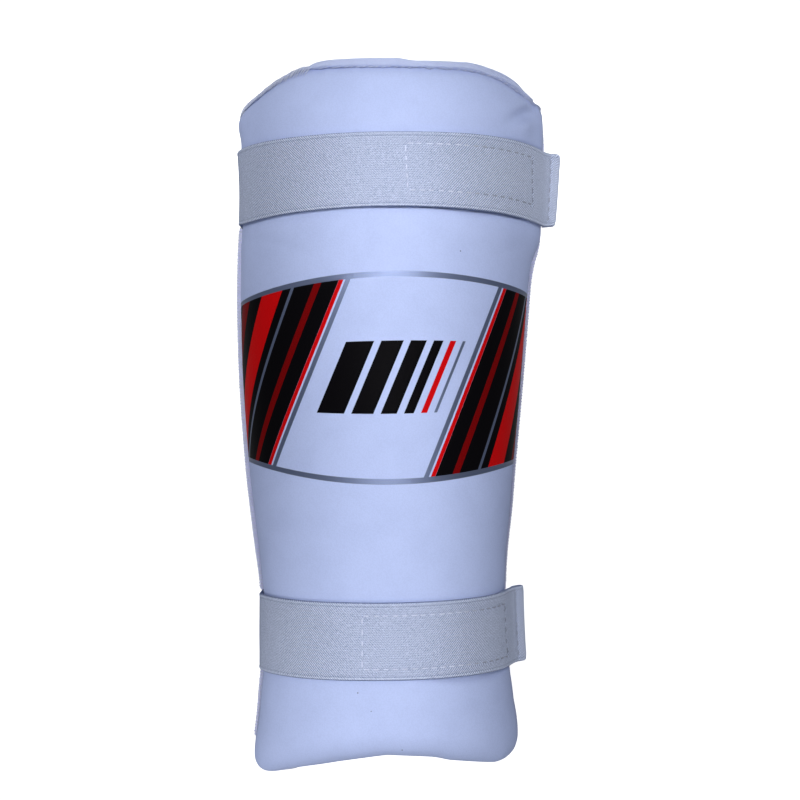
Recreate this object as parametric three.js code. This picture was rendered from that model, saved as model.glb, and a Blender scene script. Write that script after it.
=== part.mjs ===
// Cricket arm guard: a padded shell bent round the forearm, a back panel whose rolled rim shows past the
// shell's seam, and two elastic straps, each with a patch of hook tape sewn under its free end.
// Millimetres. X runs across the arm, Y along it towards the elbow and Z out of the front.
// The guard lies on its long edges with its front up, as it would on a table.
import * as THREE from "three";

// Driving dimensions
const PAD_THICKNESS = 12; // foam and cover together, away from the edges
const SEAM_THICKNESS = 3; // what the foam is bevelled to at the long seams
const SEAM_ROLL = 2.2; // how far the cover curls in from its widest line to a long seam
const SEAM_HEIGHT = 4.2; // height of the long seams over the table
const WIDEST_HEIGHT = 16; // height over the table where the cover is widest
const SQUARENESS = 2.3; // exponent of the section's curve, where 2 is an ellipse
const SIDE_SHARE = 0.86; // share of each half section that lies above its widest line
const TOP_SEAM = 141.5; // end seams on the crest line, along Y
const BOTTOM_SEAM = -126.8;
const TOP_ROUND = { depth: 7, sideDepth: 2.5, length: 16 }; // how the cover rounds over into each end seam
const BOTTOM_ROUND = { depth: 6, sideDepth: 2.5, length: 12 };
const ROUND_EASE = 0.2; // share of the half section from which the end seams round over less deeply
const GAP = 0.3; // between pieces that touch

const PANEL_THICKNESS = 2; // the back panel, away from its rim
const RIM_DROP = 2.1; // rim below the long seams
const RIM_TUCK = -1.6; // rim past the cover's widest line under a strap, which pulls it in
const RIM_BOTTOM = 0.4; // rim past the bottom seam
const RIM_PROUD = 0.6; // rim over the end of the cover

const STRAP_WIDTH = 30;
const STRAP_THICKNESS = 1.5;
const STRAP_BEND = 1.5; // inner radius where a strap turns under the left edge
const HEM_LENGTH = 8; // end of the strap that is folded under and sewn
const PATCH_WIDTH = 20.5;
const PATCH_THICKNESS = 1.4;
const DENT_MARGIN = 1; // pad that is pressed down beside a strap
const DENT_RAMP = 5; // pad that slopes down to a strap
const PATCH_RAMP = { from: 0.15, to: 0.03 }; // pad that slopes down to a patch, in shares of the half section

// Sections across the arm: place along Y, reach of the cover left and right of the crest line, height of the
// crest, and how far the rim stands out past the cover on each side.
const SECTIONS = [
  { y: -140, left: 54.9, right: 53.0, crest: 55.0, rimLeft: 1.2, rimRight: 0.4 },
  { y: -122, left: 53.9, right: 53.2, crest: 55.6, rimLeft: 1.9, rimRight: 0.4 },
  { y: -108, left: 52.3, right: 51.5, crest: 55.5, rimLeft: 2.2, rimRight: 0.4 },
  { y: -98, left: 51.4, right: 50.3, crest: 55.2, rimLeft: 2.3, rimRight: 0.5 },
  { y: -82, left: 51.0, right: 48.9, crest: 55.0, rimLeft: 2.4, rimRight: 0.9 },
  { y: -64, left: 51.4, right: 48.1, crest: 56.0, rimLeft: 2.4, rimRight: 1.4 },
  { y: -50, left: 53.1, right: 48.6, crest: 57.0, rimLeft: 2.7, rimRight: 1.7 },
  { y: -32, left: 55.4, right: 50.2, crest: 58.2, rimLeft: 2.7, rimRight: 2.1 },
  { y: -16, left: 57.2, right: 51.4, crest: 59.0, rimLeft: 2.7, rimRight: 2.2 },
  { y: 20, left: 59.9, right: 54.6, crest: 60.6, rimLeft: 2.8, rimRight: 2.3 },
  { y: 50, left: 60.9, right: 57.1, crest: 61.4, rimLeft: 2.7, rimRight: 2.3 },
  { y: 62, left: 60.9, right: 58.2, crest: 61.5, rimLeft: 2.7, rimRight: 2.2 },
  { y: 70, left: 60.8, right: 59.5, crest: 61.4, rimLeft: 2.7, rimRight: 2.1 },
  { y: 78, left: 60.5, right: 62.2, crest: 61.2, rimLeft: 2.7, rimRight: 1.2 },
  { y: 86, left: 59.9, right: 63.2, crest: 60.9, rimLeft: 2.6, rimRight: 0.8 },
  { y: 100, left: 59.5, right: 63.3, crest: 60.6, rimLeft: 1.6, rimRight: 1.2 },
  { y: 118, left: 60.0, right: 63.6, crest: 61.2, rimLeft: 1.4, rimRight: 1.7 },
  { y: 130, left: 60.4, right: 63.1, crest: 61.2, rimLeft: 1.9, rimRight: 1.7 },
  { y: 146, left: 60.0, right: 62.0, crest: 61.0, rimLeft: 1.9, rimRight: 1.7 },
];

// Cut of the two ends: place across from the crest (0) to a long seam (1), how far each end seam drops there,
// and how far the rim stands past the top seam.
const END_CUTS = [
  { across: 0, topLeft: 0, topRight: 0, bottomLeft: 0, bottomRight: 0, rimLeft: 2.9, rimRight: 2.9 },
  { across: 0.2, topLeft: -0.2, topRight: 0.8, bottomLeft: 2.5, bottomRight: 1.3, rimLeft: 2.4, rimRight: 3.1 },
  { across: 0.35, topLeft: 0.4, topRight: 2.3, bottomLeft: 5, bottomRight: 3.2, rimLeft: 0.8, rimRight: 3.4 },
  { across: 0.5, topLeft: 4.7, topRight: 5.5, bottomLeft: 7.6, bottomRight: 4.6, rimLeft: 0.4, rimRight: 3.2 },
  { across: 0.65, topLeft: 7.9, topRight: 8.2, bottomLeft: 9.8, bottomRight: 5.2, rimLeft: 0.4, rimRight: 0.8 },
  { across: 0.8, topLeft: 8.5, topRight: 8.2, bottomLeft: 11.2, bottomRight: 4.9, rimLeft: 0.4, rimRight: 0.4 },
  { across: 1, topLeft: 11, topRight: 9, bottomLeft: 8, bottomRight: 2.5, rimLeft: 0.4, rimRight: 0.4 },
];

// Straps: middle along Y, where the free end leaves the pad (share of the right half section) and how much
// further on that is at its lower edge, length of the free end and how far its tip swings up, where the patch
// starts (share of the half section) and its shift along Y.
const STRAPS = [
  { name: "upper", y: 100, leaves: 0.72, twist: 0.04, free: 20, lift: 0, patchFrom: 0.035, patchShift: 1 },
  { name: "lower", y: -82, leaves: 0.68, twist: 0, free: 20, lift: 1.8, patchFrom: -0.096, patchShift: -0.4 },
];

// Rows of the pad and the panel along Y on the crest line; gather draws rows towards where a span starts.
const [UPPER, LOWER] = STRAPS;
const PRESSED = STRAP_WIDTH / 2 + DENT_MARGIN;
const SLOPED = PRESSED + DENT_RAMP;
const ROW_SPANS = [
  { from: BOTTOM_SEAM, to: BOTTOM_SEAM + BOTTOM_ROUND.length, steps: 4, gather: 2 },
  { from: BOTTOM_SEAM + BOTTOM_ROUND.length, to: LOWER.y - SLOPED, steps: 2, gather: 1 },
  { from: LOWER.y - SLOPED, to: LOWER.y - PRESSED, steps: 2, gather: 1 },
  { from: LOWER.y - PRESSED, to: LOWER.y + PRESSED, steps: 3, gather: 1 },
  { from: LOWER.y + PRESSED, to: LOWER.y + SLOPED, steps: 2, gather: 1 },
  { from: LOWER.y + SLOPED, to: UPPER.y - SLOPED, steps: 8, gather: 1 },
  { from: UPPER.y - SLOPED, to: UPPER.y - PRESSED, steps: 2, gather: 1 },
  { from: UPPER.y - PRESSED, to: UPPER.y + PRESSED, steps: 3, gather: 1 },
  { from: UPPER.y + PRESSED, to: UPPER.y + SLOPED, steps: 2, gather: 1 },
  { from: TOP_SEAM, to: UPPER.y + SLOPED, steps: 5, gather: 2 },
];
const ARCH_STEPS = 10; // columns on each side above the widest line
const ROLL_STEPS = 3; // columns on each side below it

const COVER_WHITE = new THREE.MeshStandardMaterial({ color: 0xc3d1fc, roughness: 0.45, metalness: 0 });
const PANEL_WHITE = new THREE.MeshStandardMaterial({ color: 0xc8d0ee, roughness: 0.85, metalness: 0 });
const ELASTIC_GREY = new THREE.MeshStandardMaterial({ color: 0xb7c0db, roughness: 0.9, metalness: 0 });
const HOOK_WHITE = new THREE.MeshStandardMaterial({ color: 0xc9cede, roughness: 0.8, metalness: 0 });

const { lerp, smoothstep } = THREE.MathUtils;
const QUARTER_TURN = Math.PI / 2;

// A smooth curve through one column of a table, as a function of another.
function curve(table, key, column) {
  const slope = (i) => {
    const before = table[Math.max(i - 1, 0)];
    const after = table[Math.min(i + 1, table.length - 1)];
    return (after[column] - before[column]) / (after[key] - before[key]);
  };
  return (at) => {
    const last = table.length - 2;
    const found = table.findIndex((row, i) => i > last || at < table[i + 1][key]);
    const i = Math.min(found, last);
    const span = table[i + 1][key] - table[i][key];
    const t = (at - table[i][key]) / span;
    const rise = table[i + 1][column] - table[i][column];
    const start = slope(i) * span - rise;
    const end = rise - slope(i + 1) * span;
    return table[i][column] + t * rise + t * (1 - t) * ((1 - t) * start + t * end);
  };
}

const reachLeft = curve(SECTIONS, "y", "left");
const reachRight = curve(SECTIONS, "y", "right");
const crestHeight = curve(SECTIONS, "y", "crest");
const rimLeft = curve(SECTIONS, "y", "rimLeft");
const rimRight = curve(SECTIONS, "y", "rimRight");
const cutTopLeft = curve(END_CUTS, "across", "topLeft");
const cutTopRight = curve(END_CUTS, "across", "topRight");
const cutBottomLeft = curve(END_CUTS, "across", "bottomLeft");
const cutBottomRight = curve(END_CUTS, "across", "bottomRight");
const rimTopLeft = curve(END_CUTS, "across", "rimLeft");
const rimTopRight = curve(END_CUTS, "across", "rimRight");

const reach = (side, y) => (side < 0 ? reachLeft(y) : reachRight(y));
const topSeam = (u) => TOP_SEAM - (u < 0 ? cutTopLeft(-u) : cutTopRight(u));
const bottomSeam = (u) => BOTTOM_SEAM - (u < 0 ? cutBottomLeft(-u) : cutBottomRight(u));
const rimTop = (u) => (u < 0 ? rimTopLeft(-u) : rimTopRight(u));
const rimSide = (side, y) => (side < 0 ? rimLeft(y) : rimRight(y));

// How far in from the widest line a wall at a depth below the cover meets a long seam, where the foam is thin.
function depthAtSeam(depth) {
  const foam = Math.min(depth, PAD_THICKNESS) * (SEAM_THICKNESS / PAD_THICKNESS);
  return SEAM_ROLL + foam + Math.max(depth - PAD_THICKNESS, 0);
}

// A point of the section at y: u runs from the left seam (-1) over the crest (0) to the right seam (1), and
// depth is measured in from the cover.
function section(u, y, depth) {
  const side = Math.sign(u) || 1;
  const share = Math.abs(u) / SIDE_SHARE;
  const half = reach(side, y) - depth;
  if (share <= 1) {
    const power = 2 / SQUARENESS;
    const out = Math.sin(share * QUARTER_TURN) ** power;
    const up = Math.max(Math.cos(share * QUARTER_TURN), 0) ** power;
    return { x: side * half * out, z: WIDEST_HEIGHT + (crestHeight(y) - WIDEST_HEIGHT - depth) * up };
  }
  const roll = ((Math.abs(u) - SIDE_SHARE) / (1 - SIDE_SHARE)) * QUARTER_TURN;
  const atSeam = reach(side, y) - depthAtSeam(depth);
  return {
    x: side * lerp(half, atSeam, 1 - Math.cos(roll)),
    z: lerp(WIDEST_HEIGHT, SEAM_HEIGHT, Math.sin(roll)),
  };
}

// How firmly a strap presses at y: 1 under it, 0 away from it.
const pressed = (y, strap) => 1 - smoothstep(Math.abs(y - strap.y), PRESSED, SLOPED);

// How deep the cover rounds over at an end seam: less towards the long seams.
function roundDepth({ depth, sideDepth }, u) {
  return lerp(depth, sideDepth, smoothstep(Math.abs(u), ROUND_EASE, SIDE_SHARE));
}

// How far the cover lies below its plain shape at a place: pressed by the straps and their patches, and rounded
// over into the end seams.
function coverDepth(u, y) {
  let depth = 0;
  for (const strap of STRAPS) {
    const patch = smoothstep(u, strap.patchFrom - PATCH_RAMP.from, strap.patchFrom - PATCH_RAMP.to);
    depth += pressed(y, strap) * (GAP + patch * (PATCH_THICKNESS + GAP));
  }
  const rounded = (toSeam, end) => {
    const share = 1 - Math.min(toSeam / end.length, 1);
    return roundDepth(end, u) * (1 - Math.sqrt(1 - share * share));
  };
  return depth + rounded(topSeam(u) - y, TOP_ROUND) + rounded(y - bottomSeam(u), BOTTOM_ROUND);
}

// Rows on the crest line, and where each row lies in a column whose ends are cut shorter.
const rows = [BOTTOM_SEAM];
for (const { from, to, steps, gather } of ROW_SPANS) {
  const span = Array.from({ length: steps + 1 }, (_, i) => lerp(from, to, (i / steps) ** gather));
  const rising = to > from ? span : span.reverse();
  rows.push(...rising.slice(1));
}
const topKnee = UPPER.y + PRESSED;
const bottomKnee = LOWER.y - PRESSED;
function rowInColumn(row, u) {
  if (row > topKnee) return lerp(topKnee, topSeam(u), (row - topKnee) / (TOP_SEAM - topKnee));
  if (row < bottomKnee) return lerp(bottomKnee, bottomSeam(u), (row - bottomKnee) / (BOTTOM_SEAM - bottomKnee));
  return row;
}

// Columns from the left seam to the right one.
const rightColumns = [];
for (let i = 1; i <= ARCH_STEPS; i++) rightColumns.push((i / ARCH_STEPS) * SIDE_SHARE);
for (let i = 1; i <= ROLL_STEPS; i++) rightColumns.push(lerp(SIDE_SHARE, 1, i / ROLL_STEPS));
const columns = [...rightColumns.map((u) => -u).reverse(), 0, ...rightColumns];

// A closed solid between two faces over one grid: front and back give the point at a column and a row.
function slab(columnList, rowList, front, back) {
  const [lastColumn, lastRow] = [columnList.length - 1, rowList.length - 1];
  const positions = [];
  for (const face of [front, back]) {
    for (const column of columnList) {
      for (const row of rowList) {
        const { x, y, z } = face(column, row);
        positions.push(x, y, z);
      }
    }
  }
  const at = (layer, c, r) => (layer * columnList.length + c) * rowList.length + r;
  const triangles = [];
  const quad = (a, b, c, d) => triangles.push(a, b, c, a, c, d);
  for (let c = 0; c < lastColumn; c++) {
    for (let r = 0; r < lastRow; r++) {
      quad(at(0, c, r), at(0, c + 1, r), at(0, c + 1, r + 1), at(0, c, r + 1));
      quad(at(1, c, r), at(1, c, r + 1), at(1, c + 1, r + 1), at(1, c + 1, r));
    }
    quad(at(0, c, 0), at(1, c, 0), at(1, c + 1, 0), at(0, c + 1, 0));
    quad(at(0, c, lastRow), at(0, c + 1, lastRow), at(1, c + 1, lastRow), at(1, c, lastRow));
  }
  for (let r = 0; r < lastRow; r++) {
    quad(at(0, 0, r), at(0, 0, r + 1), at(1, 0, r + 1), at(1, 0, r));
    quad(at(0, lastColumn, r), at(1, lastColumn, r), at(1, lastColumn, r + 1), at(0, lastColumn, r + 1));
  }
  const geometry = new THREE.BufferGeometry();
  geometry.setAttribute("position", new THREE.Float32BufferAttribute(positions, 3));
  geometry.setIndex(triangles);
  geometry.computeVertexNormals();
  return geometry;
}

function piece(name, geometry, material) {
  const mesh = new THREE.Mesh(geometry, material);
  mesh.name = name;
  return mesh;
}

// The padded shell: the cover outside, and a back that is one pad thickness in.
function frontPad() {
  const face = (depthOf) => (u, row) => {
    const y = rowInColumn(row, u);
    return { ...section(u, y, depthOf(u, y)), y };
  };
  return slab(columns, rows, face(coverDepth), face(() => PAD_THICKNESS));
}

// The panel behind the pad. Past the pad's seams it thickens into the rolled rim, so its grid has three more
// lines beyond each seam: one still as thin as the panel, one as thick as the rim, and the rim's outer edge.
function backPanel() {
  const RIM_LINES = ["thin", "thick", "edge"];
  const inside = (value) => ({ value, line: "panel" });
  const beyond = (value) => RIM_LINES.map((line) => ({ value, line }));
  const ring = (list) => [
    ...beyond(list.at(0)).reverse(),
    ...list.map(inside),
    ...beyond(list.at(-1)),
  ];
  const isRim = ({ line }) => line === "thick" || line === "edge";
  const past = ({ line }, rim) => ({ panel: 0, thin: GAP, thick: GAP, edge: GAP + rim })[line];

  const place = (column, row, depth, sideReach) => {
    const u = column.value;
    const atTop = row.value > 0;
    const y = rowInColumn(row.value, u) + (atTop ? past(row, rimTop(u)) : -past(row, RIM_BOTTOM));
    const point = section(u, y, depth);
    if (column.line === "panel") return { ...point, y };
    return { x: Math.sign(u) * sideReach(Math.sign(u), y), y, z: SEAM_HEIGHT - past(column, RIM_DROP) };
  };
  const front = (column, row) => {
    const atTop = row.value > 0;
    const endDepth = roundDepth(atTop ? TOP_ROUND : BOTTOM_ROUND, column.value) - RIM_PROUD;
    const depth = isRim(row) ? endDepth : PAD_THICKNESS + GAP;
    const sideReach = (side, y) => {
      if (!isRim(column)) return reach(side, y) - depthAtSeam(PAD_THICKNESS + GAP);
      const tuck = Math.max(...STRAPS.map((strap) => pressed(y, strap)));
      return reach(side, y) + lerp(rimSide(side, y), RIM_TUCK, tuck);
    };
    return place(column, row, depth, sideReach);
  };
  const back = (column, row) => {
    const depth = PAD_THICKNESS + GAP + PANEL_THICKNESS;
    return place(column, row, depth, (side, y) => reach(side, y) - depthAtSeam(depth));
  };
  return slab(ring(columns), ring(rows), front, back);
}

// The line of a strap's inner face at y, from its sewn end under the right edge, along the table to the left,
// round the left side and over the front, to its free end; and the number of the point where the patch starts.
function strapLine(strap, y) {
  const CORNER_STEPS = 3;
  const BARE_STEPS = 14;
  const PATCH_STEPS = 11;
  const FREE_STEPS = 4;
  const left = -reachLeft(y);
  const points = [
    new THREE.Vector3(reachRight(y) + RIM_TUCK, y, STRAP_THICKNESS),
    new THREE.Vector3(left + STRAP_BEND, y, STRAP_THICKNESS),
  ];
  for (let i = 1; i <= CORNER_STEPS; i++) {
    const turn = (i / CORNER_STEPS) * QUARTER_TURN;
    const x = left + STRAP_BEND * (1 - Math.sin(turn));
    points.push(new THREE.Vector3(x, y, STRAP_THICKNESS + STRAP_BEND * (1 - Math.cos(turn))));
  }
  const follow = (from, to, steps, first) => {
    for (let i = first; i <= steps; i++) {
      const { x, z } = section(lerp(from, to, i / steps), y, 0);
      points.push(new THREE.Vector3(x, y, z));
    }
  };
  const lower = (strap.y - y) / STRAP_WIDTH;
  follow(-SIDE_SHARE, strap.patchFrom, BARE_STEPS, 0);
  const patchStart = points.length - 1;
  follow(strap.patchFrom, strap.leaves + strap.twist * lower, PATCH_STEPS, 1);
  const leaving = points.at(-1);
  const heading = leaving.clone().sub(points.at(-2)).normalize();
  const toHem = strap.free - HEM_LENGTH;
  const stops = Array.from({ length: FREE_STEPS - 1 }, (_, i) => ((i + 1) / FREE_STEPS) * toHem);
  for (const stop of [...stops, toHem - 2 * GAP, toHem - GAP, toHem, strap.free]) {
    const point = leaving.clone().addScaledVector(heading, stop);
    point.y += strap.lift * (stop / strap.free) ** 2;
    points.push(point);
  }
  return { points, patchStart };
}

// The outward direction across a line at one of its points.
function outward(points, i) {
  const before = points[Math.max(i - 1, 0)];
  const after = points[Math.min(i + 1, points.length - 1)];
  return new THREE.Vector3(before.z - after.z, 0, after.x - before.x).normalize();
}

// A band that follows a strap's line between two points of it, its faces at two distances out from the line.
function band(strap, edges, first, last, outer, inner) {
  const lines = new Map(edges.map((y) => [y, strapLine(strap, y).points]));
  const steps = Array.from({ length: last - first + 1 }, (_, i) => first + i);
  const face = (distance) => (i, y) => {
    const points = lines.get(y);
    return points[i].clone().addScaledVector(outward(points, i), distance(i));
  };
  return slab(steps, edges, face(outer), face(inner));
}

// An elastic strap, twice as thick at its free end, where the hem is folded under.
function elasticStrap(strap) {
  const edges = [-1, -1 / 3, 1 / 3, 1].map((share) => strap.y + (share * STRAP_WIDTH) / 2);
  const last = strapLine(strap, strap.y).points.length - 1;
  const hem = (i) => (i >= last - 1 ? -STRAP_THICKNESS : 0);
  return band(strap, edges, 0, last, () => STRAP_THICKNESS, hem);
}

// The patch of hook tape under a strap, from its start over the front to just short of the hem.
function hookPatch(strap) {
  const edges = [-1, 0, 1].map((share) => strap.y + strap.patchShift + (share * PATCH_WIDTH) / 2);
  const { points, patchStart } = strapLine(strap, strap.y);
  return band(strap, edges, patchStart, points.length - 4, () => -GAP, () => -GAP - PATCH_THICKNESS);
}

const guard = new THREE.Group();
guard.add(piece("front_pad", frontPad(), COVER_WHITE));
guard.add(piece("back_panel", backPanel(), PANEL_WHITE));
for (const strap of STRAPS) {
  guard.add(piece(`strap_${strap.name}`, elasticStrap(strap), ELASTIC_GREY));
  guard.add(piece(`hook_patch_${strap.name}`, hookPatch(strap), HOOK_WHITE));
}

// The part's origin is on the table, under the middle of the whole guard.
const bounds = new THREE.Box3().setFromObject(guard);
const middle = bounds.getCenter(new THREE.Vector3());
guard.position.set(-middle.x, -middle.y, -bounds.min.z);

const part = new THREE.Group();
part.add(guard);
export default part;
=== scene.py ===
"""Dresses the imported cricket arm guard: padded cover, back panel, elastic straps, hook tape and stitching.

Lengths are millimetres in the guard's own frame, where x = 0 is the crest line and z = 0 is the table, until
Frame.place() turns them into Blender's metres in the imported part's frame.
"""

from __future__ import annotations

import logging
import math
from dataclasses import dataclass
from enum import Enum
from typing import Mapping, NamedTuple, Optional, Sequence, Union

import bpy
import numpy as np
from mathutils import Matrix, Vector

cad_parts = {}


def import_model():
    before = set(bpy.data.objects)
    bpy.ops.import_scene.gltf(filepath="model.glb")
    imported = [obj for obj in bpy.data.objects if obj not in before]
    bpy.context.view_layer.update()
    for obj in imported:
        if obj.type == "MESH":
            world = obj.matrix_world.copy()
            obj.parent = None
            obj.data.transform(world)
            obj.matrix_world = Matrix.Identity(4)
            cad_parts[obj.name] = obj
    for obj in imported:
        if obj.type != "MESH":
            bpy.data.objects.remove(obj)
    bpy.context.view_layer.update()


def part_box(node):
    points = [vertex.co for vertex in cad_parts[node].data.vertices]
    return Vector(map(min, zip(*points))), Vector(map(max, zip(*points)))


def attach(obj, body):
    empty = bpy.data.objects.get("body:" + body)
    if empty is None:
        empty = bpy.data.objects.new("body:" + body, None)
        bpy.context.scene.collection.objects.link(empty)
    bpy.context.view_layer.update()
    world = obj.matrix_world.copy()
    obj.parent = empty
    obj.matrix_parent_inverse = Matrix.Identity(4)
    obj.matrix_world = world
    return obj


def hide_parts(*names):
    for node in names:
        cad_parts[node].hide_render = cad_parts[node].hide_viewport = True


LOG = logging.getLogger("arm_guard")
MM = 0.001
QUARTER_TURN = math.pi / 2
Grid = np.ndarray
Colour = tuple[float, float, float, float]


def ink(red: int, green: int, blue: int) -> Colour:
    """Gives the linear colour of a paint chip read in 8-bit sRGB.

    Args:
        red: Red, 0 to 255.
        green: Green, 0 to 255.
        blue: Blue, 0 to 255.

    Returns:
        The linear colour with full alpha.
    """
    linear = [((c / 255 + 0.055) / 1.055) ** 2.4 if c > 10 else c / 255 / 12.92 for c in (red, green, blue)]
    return (linear[0], linear[1], linear[2], 1.0)


def lerp(start: Grid, end: Grid, share: Grid) -> Grid:
    """Mixes two values by a share from 0 to 1."""
    return start + (end - start) * share


def smoothstep(value: Grid, low: float, high: float) -> Grid:
    """Eases from 0 at low to 1 at high."""
    share = np.clip((np.asarray(value, float) - low) / (high - low), 0.0, 1.0)
    return share * share * (3.0 - 2.0 * share)


def hump(distance: Grid, width: float) -> Grid:
    """Gives a round hump of height 1 that dies away over a width."""
    return np.exp(-np.square(np.asarray(distance, float) / width))


def arch(share: Grid) -> Grid:
    """Gives a half-round arch of height 1 over shares from 0 to 1."""
    return np.sqrt(np.clip(1.0 - (2.0 * share - 1.0) ** 2, 0.0, 1.0))


def distance_along(line: Grid) -> Grid:
    """Measures how far along a line of points each of them lies."""
    return np.concatenate([[0.0], np.linalg.norm(np.diff(line, axis=0), axis=-1).cumsum()])


class Curve:
    """A smooth curve through the rows of a short table."""

    def __init__(self, at: Sequence[float], value: Sequence[float]) -> None:
        """Fits the curve.

        Args:
            at: Rising places of the rows.
            value: What the curve passes through at each place.
        """
        self.at = np.asarray(at, float)
        self.value = np.asarray(value, float)
        before = np.maximum(np.arange(len(self.at)) - 1, 0)
        after = np.minimum(np.arange(len(self.at)) + 1, len(self.at) - 1)
        self.slope = (self.value[after] - self.value[before]) / (self.at[after] - self.at[before])

    def __call__(self, place: Grid) -> Grid:
        """Reads the curve.

        Args:
            place: Where to read it.

        Returns:
            The curve's values there.
        """
        place = np.asarray(place, float)
        i = np.clip(np.searchsorted(self.at, place, side="right") - 1, 0, len(self.at) - 2)
        span = self.at[i + 1] - self.at[i]
        t = (place - self.at[i]) / span
        rise = self.value[i + 1] - self.value[i]
        start = self.slope[i] * span - rise
        end = rise - self.slope[i + 1] * span
        return self.value[i] + t * rise + t * (1 - t) * ((1 - t) * start + t * end)


class Ripple:
    """A smooth irregular wave along a line, the same on every run."""

    waves: int = 6
    shortest: float = 0.7
    longest: float = 1.7

    def __init__(self, wavelength: float, seed: int) -> None:
        """Picks the waves that it is the sum of.

        Args:
            wavelength: Typical length of a wave.
            seed: Number that fixes the choice.
        """
        choice = np.random.default_rng(seed)
        self.lengths = wavelength * choice.uniform(self.shortest, self.longest, self.waves)
        self.phases = choice.uniform(0, math.tau, self.waves)

    def __call__(self, along: Grid) -> Grid:
        """Reads the wave, which stays within about -1 to 1."""
        turns = math.tau * np.asarray(along, float)[..., None] / self.lengths + self.phases
        return np.sin(turns).sum(axis=-1) / (self.waves / 2)


SEAM_WAVE = Ripple(3.4, 31)
PUCKER_WAVE = Ripple(5.0, 11)
RIM_WIDTH_WAVE = Ripple(17.0, 21)
RIM_RUMPLE_WAVES = (Ripple(7.0, 22), Ripple(21.0, 23))


class SectionRow(NamedTuple):
    """A section across the arm: reach left and right of the crest line, crest height, and the rim's width."""

    y: float
    left: float
    right: float
    crest: float
    rim_left: float
    rim_right: float


class EndCut(NamedTuple):
    """The cut of the ends at a share of the half section: drops of the end seams, and the top rim's width."""

    across: float
    top_left: float
    top_right: float
    bottom_left: float
    bottom_right: float
    rim_left: float
    rim_right: float


SECTIONS = (
    SectionRow(-140, 57.5, 55.6, 55.0, 0.9, 0.4),
    SectionRow(-122, 54.1, 53.9, 55.6, 1.6, 0.4),
    SectionRow(-108, 52.3, 51.5, 55.5, 2.2, 0.4),
    SectionRow(-98, 51.4, 50.3, 55.2, 2.3, 0.5),
    SectionRow(-82, 51.4, 48.9, 55.0, 2.4, 0.9),
    SectionRow(-64, 51.5, 48.1, 56.0, 2.8, 1.4),
    SectionRow(-50, 53.1, 48.6, 57.0, 3.1, 1.7),
    SectionRow(-32, 55.4, 50.2, 58.2, 3.1, 2.1),
    SectionRow(-16, 57.2, 51.4, 59.0, 3.1, 2.2),
    SectionRow(20, 59.9, 54.6, 60.6, 3.1, 2.3),
    SectionRow(50, 60.9, 57.1, 61.4, 3.1, 2.3),
    SectionRow(62, 60.9, 58.2, 61.5, 3.1, 2.2),
    SectionRow(70, 60.8, 59.7, 61.4, 3.1, 2.1),
    SectionRow(78, 60.5, 62.7, 61.2, 3.1, 1.2),
    SectionRow(86, 60.1, 63.4, 60.9, 2.9, 0.8),
    SectionRow(100, 60.0, 63.8, 60.6, 1.4, 1.2),
    SectionRow(118, 61.2, 64.2, 61.2, 0.6, 1.7),
    SectionRow(126, 62.8, 64.2, 61.2, 0.4, 1.3),
    SectionRow(134, 61.2, 64.7, 61.2, 0.4, 0.5),
    SectionRow(146, 60.4, 64.4, 61.0, 0.4, 0.3),
)
END_CUTS = (
    EndCut(0.0, -0.4, -0.4, -0.1, -0.1, 3.0, 3.0),
    EndCut(0.2, -0.6, -0.2, 2.6, 1.0, 2.6, 3.8),
    EndCut(0.285, -0.6, 0.0, 3.9, 2.4, 1.6, 3.8),
    EndCut(0.315, -0.5, 0.3, 4.3, 2.7, 0.9, 3.75),
    EndCut(0.35, -0.3, 0.7, 4.8, 3.0, 0.9, 3.7),
    EndCut(0.43, 1.9, 2.3, 5.9, 3.7, 0.9, 3.7),
    EndCut(0.5, 4.3, 4.7, 7.0, 4.3, 1.0, 3.9),
    EndCut(0.58, 7.2, 7.6, 8.5, 4.8, 1.0, 2.3),
    EndCut(0.66, 9.3, 9.6, 9.1, 3.8, 1.0, 0.5),
    EndCut(0.74, 10.6, 9.6, 8.3, 2.3, 1.0, 0.3),
    EndCut(0.82, 12.4, 9.2, 6.9, 1.0, 0.9, 0.3),
    EndCut(0.9, 14.4, 9.4, 5.4, -0.7, 0.7, 0.3),
    EndCut(1.0, 16.0, 9.9, 4.0, -2.6, 0.4, 0.3),
)


class EndRound(NamedTuple):
    """How the cover rounds over into an end seam: depth on the crest, at the left and right, and length."""

    depth: float
    left_depth: float
    right_depth: float
    length: float


LEAVING = 0.72
STRAP_STATIONS = (-1.0, -0.72, -0.35, 0.0, 0.35, LEAVING, 1.0)


@dataclass(frozen=True)
class StrapPlan:
    """Where one strap runs over the guard, and where it is sewn.

    Places along the half section are shares, as in PadShape. The flare is in degrees, the rest in mm.
    The drift along the arm and the half width are given at the STRAP_STATIONS, which run from the left side
    at -1 over the crest at 0 and the place where the strap leaves the pad to its tip at 1.
    """

    name: str
    y: float
    leaves: float
    twist: float
    free: float
    patch_from: float
    patch_shift: float
    row_high: float
    row_low: float
    drift: tuple[float, ...]
    half: tuple[float, ...]
    slant: float
    flare: float
    hem: float
    seams_from_tip: tuple[float, float]


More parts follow.
